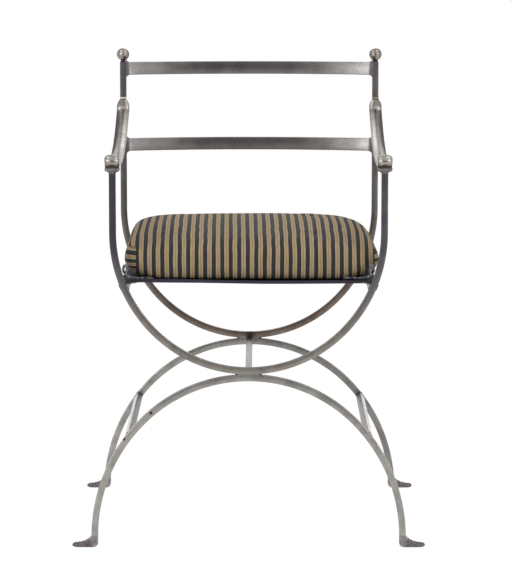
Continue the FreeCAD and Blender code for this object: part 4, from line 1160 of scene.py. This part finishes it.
# The ribs of the satin are 0.2 mm apart; drawn 1 mm apart, so that they show.
RIB_PITCH = 0.0010
ribbon_satin, tree = empty_material("black_satin_ribbon")
place = add(tree, "UVMap", {"uv_map": "along"})
stretch = add(tree, "Mapping", {"Scale": (1 / RIB_PITCH, 1 / 0.02, 1)}, {0: place})
rib = add(tree, "TexNoise", {"Scale": 1.0, "Detail": 2.0}, {"Vector": stretch})
tint = add(tree, "Mix", {"data_type": "RGBA", 6: linear("#17151c"), 7: linear("#2c2a32")},
           {0: rib.outputs["Fac"]})
relief = add(tree, "Bump", {"Strength": 0.3, "Distance": 0.0002}, {"Height": rib.outputs["Fac"]})
shine = add(tree, "BsdfPrincipled", {"Roughness": 0.30, "Specular IOR Level": 0.9, "Coat Weight": 0.6,
                                     "Coat Roughness": 0.15},
            {"Base Color": tint.outputs[2], "Normal": relief})
add(tree, "OutputMaterial", {}, {"Surface": shine})


def smooth_line(points, steps):
    """A smooth line through a few points: a Catmull-Rom curve, worked out for all steps at once."""
    points = np.asarray(points, float)
    ends = np.concatenate([[2 * points[0] - points[1]], points, [2 * points[-1] - points[-2]]])
    place = np.linspace(0, len(points) - 1 - 1e-9, steps)
    first = place.astype(int)
    t = (place - first)[:, None]
    a, b, c, d = (ends[first + k] for k in range(4))
    square, cube = 2 * a - 5 * b + 4 * c - d, 3 * b - a - 3 * c + d
    return 0.5 * (2 * b + (c - a) * t + square * t ** 2 + cube * t ** 3)


def ribbon(name, points, faces, widths):
    """A flat ribbon along a smooth line. faces gives the way its flat side looks at each point."""
    line = smooth_line(points, RIBBON_STEPS)
    face = smooth_line(faces, RIBBON_STEPS)
    wide = smooth_line(np.array(widths)[:, None], RIBBON_STEPS)
    travel = np.gradient(line, axis=0)
    travel /= np.linalg.norm(travel, axis=1)[:, None]
    side = np.cross(travel, face)
    side /= np.linalg.norm(side, axis=1)[:, None]
    face = np.cross(side, travel)
    outline = rounded_box(1.0, RIBBON_THICKNESS, RIBBON_THICKNESS * 0.45, 2)
    rings = (line[:, None] + side[:, None] * (outline[None, :, :1] * wide[:, None])
             + face[:, None] * outline[None, :, 1:])
    return solid(name, stand(rings), ribbon_satin, 60)


# Each ribbon: its points (x, forward of the wrap, height), the way its flat side faces, its widths.
TIE_RIBBONS = {
    "strap": ([(0.2272, 0, 0.4775), (0.2265, 0.0005, 0.4850), (0.2245, 0.0015, 0.4915),
               (0.2215, 0.0020, 0.4960)],
              [(1, 0, 0), (1, 0.2, 0), (0.9, 0.6, 0), (0.3, 1, 0)], [0.006, 0.005, 0.004, 0.0035]),
    "curl": ([(0.2205, 0.0030, 0.4965), (0.2238, 0.0036, 0.5010), (0.2246, 0.0028, 0.5070),
              (0.2222, 0.0018, 0.5118), (0.2188, 0.0020, 0.5105), (0.2184, 0.0034, 0.5045),
              (0.2205, 0.0040, 0.4980)],
             [(0.3, 1, 0.3), (0.6, 0.9, 0.2), (0.7, 0.7, 0.3), (0.1, 0.6, 0.9), (-0.6, 0.7, 0.5),
              (-0.5, 1, 0), (0, 1, 0)],
             [0.0025, 0.0048, 0.0062, 0.0066, 0.0060, 0.0046, 0.0025]),
    "knot": ([(0.2232, 0.0020, 0.4940), (0.2226, 0.0050, 0.4965), (0.2202, 0.0058, 0.4972),
              (0.2180, 0.0045, 0.4958), (0.2184, 0.0015, 0.4938)],
             [(1, 0.3, 0.3), (0.5, 0.9, 0.4), (0, 1, 0.4), (-0.6, 0.8, 0.2), (-1, 0, 0)],
             [0.0045, 0.0052, 0.0054, 0.0048, 0.0040]),
    "tail": ([(0.2195, 0.0040, 0.4955), (0.2150, 0.0030, 0.4922), (0.2070, 0.0020, 0.4908),
              (0.1960, 0.0016, 0.4896), (0.1850, 0.0022, 0.4906), (0.1770, 0.0016, 0.4896),
              (0.1690, 0.0012, 0.4890)],
             [(0, 1, 0.6), (0, 0.8, 0.8), (0, 1, -0.2), (0, 1, 0), (0, 0.5, 1), (0, 1, 0.5), (0, 1, 0)],
             [0.0035, 0.0040, 0.0030, 0.0028, 0.0036, 0.0030, 0.0026]),
    "low_tail": ([(0.2205, 0.0030, 0.4945), (0.2232, 0.0030, 0.4890), (0.2226, 0.0024, 0.4830),
                  (0.2170, 0.0018, 0.4800), (0.2095, 0.0010, 0.4806), (0.1990, 0.0000, 0.4822)],
                 [(0.4, 1, 0), (0.9, 0.7, 0), (0.7, 0.8, -0.3), (0.1, 1, 0), (0, 1, 0.3), (0, 1, 0)],
                 [0.0028, 0.0034, 0.0034, 0.0032, 0.0030, 0.0026]),
}
# The wrap: a closed path round the rail's section, and the way out from its middle at each point.
wrap_size = BAR + 2 * WRAP_OFFSET + RIBBON_THICKNESS
section = rounded_box(wrap_size, wrap_size, WRAP_CORNER)
section = np.concatenate([section, section[:1]])
loop = (RAIL_X, RAIL_Z) + section[:, :1] * RAIL_OUT + section[:, 1:] * RAIL_UP
outward = loop - loop.mean(0)
outward /= np.linalg.norm(outward, axis=1)[:, None]
for end, way in (("front", 1), ("rear", -1)):
    for side_name, hand in SIDES:
        label = f"{end}_{side_name}"
        wrap_back = TIE_BACK if way > 0 else SPACING - TIE_BACK
        rings = []
        for outside, edge in ((-0.5, -0.5), (-0.5, 0.5), (0.5, 0.5), (0.5, -0.5)):
            ring = loop + outside * RIBBON_THICKNESS * outward
            back = np.full(len(ring), wrap_back + edge * WRAP_WIDTH)
            rings.append(np.stack([hand * ring[:, 0], back, ring[:, 1]], 1))
        wrap = solid(label + "_rail_wrap", stand(np.stack(rings, 1)), ribbon_satin, 60)
        set_in(wrap, "tie_ribbon", label + "_tie")
        for part, (points, faces, widths) in TIE_RIBBONS.items():
            line = [(hand * x, wrap_back - way * near, up) for x, near, up in points]
            looks = [(hand * x, -way * near, up) for x, near, up in faces]
            set_in(ribbon(f"{label}_{part}", line, looks, widths), "tie_ribbon")


# Sizes. The box of the dressed chair.
low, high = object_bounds()
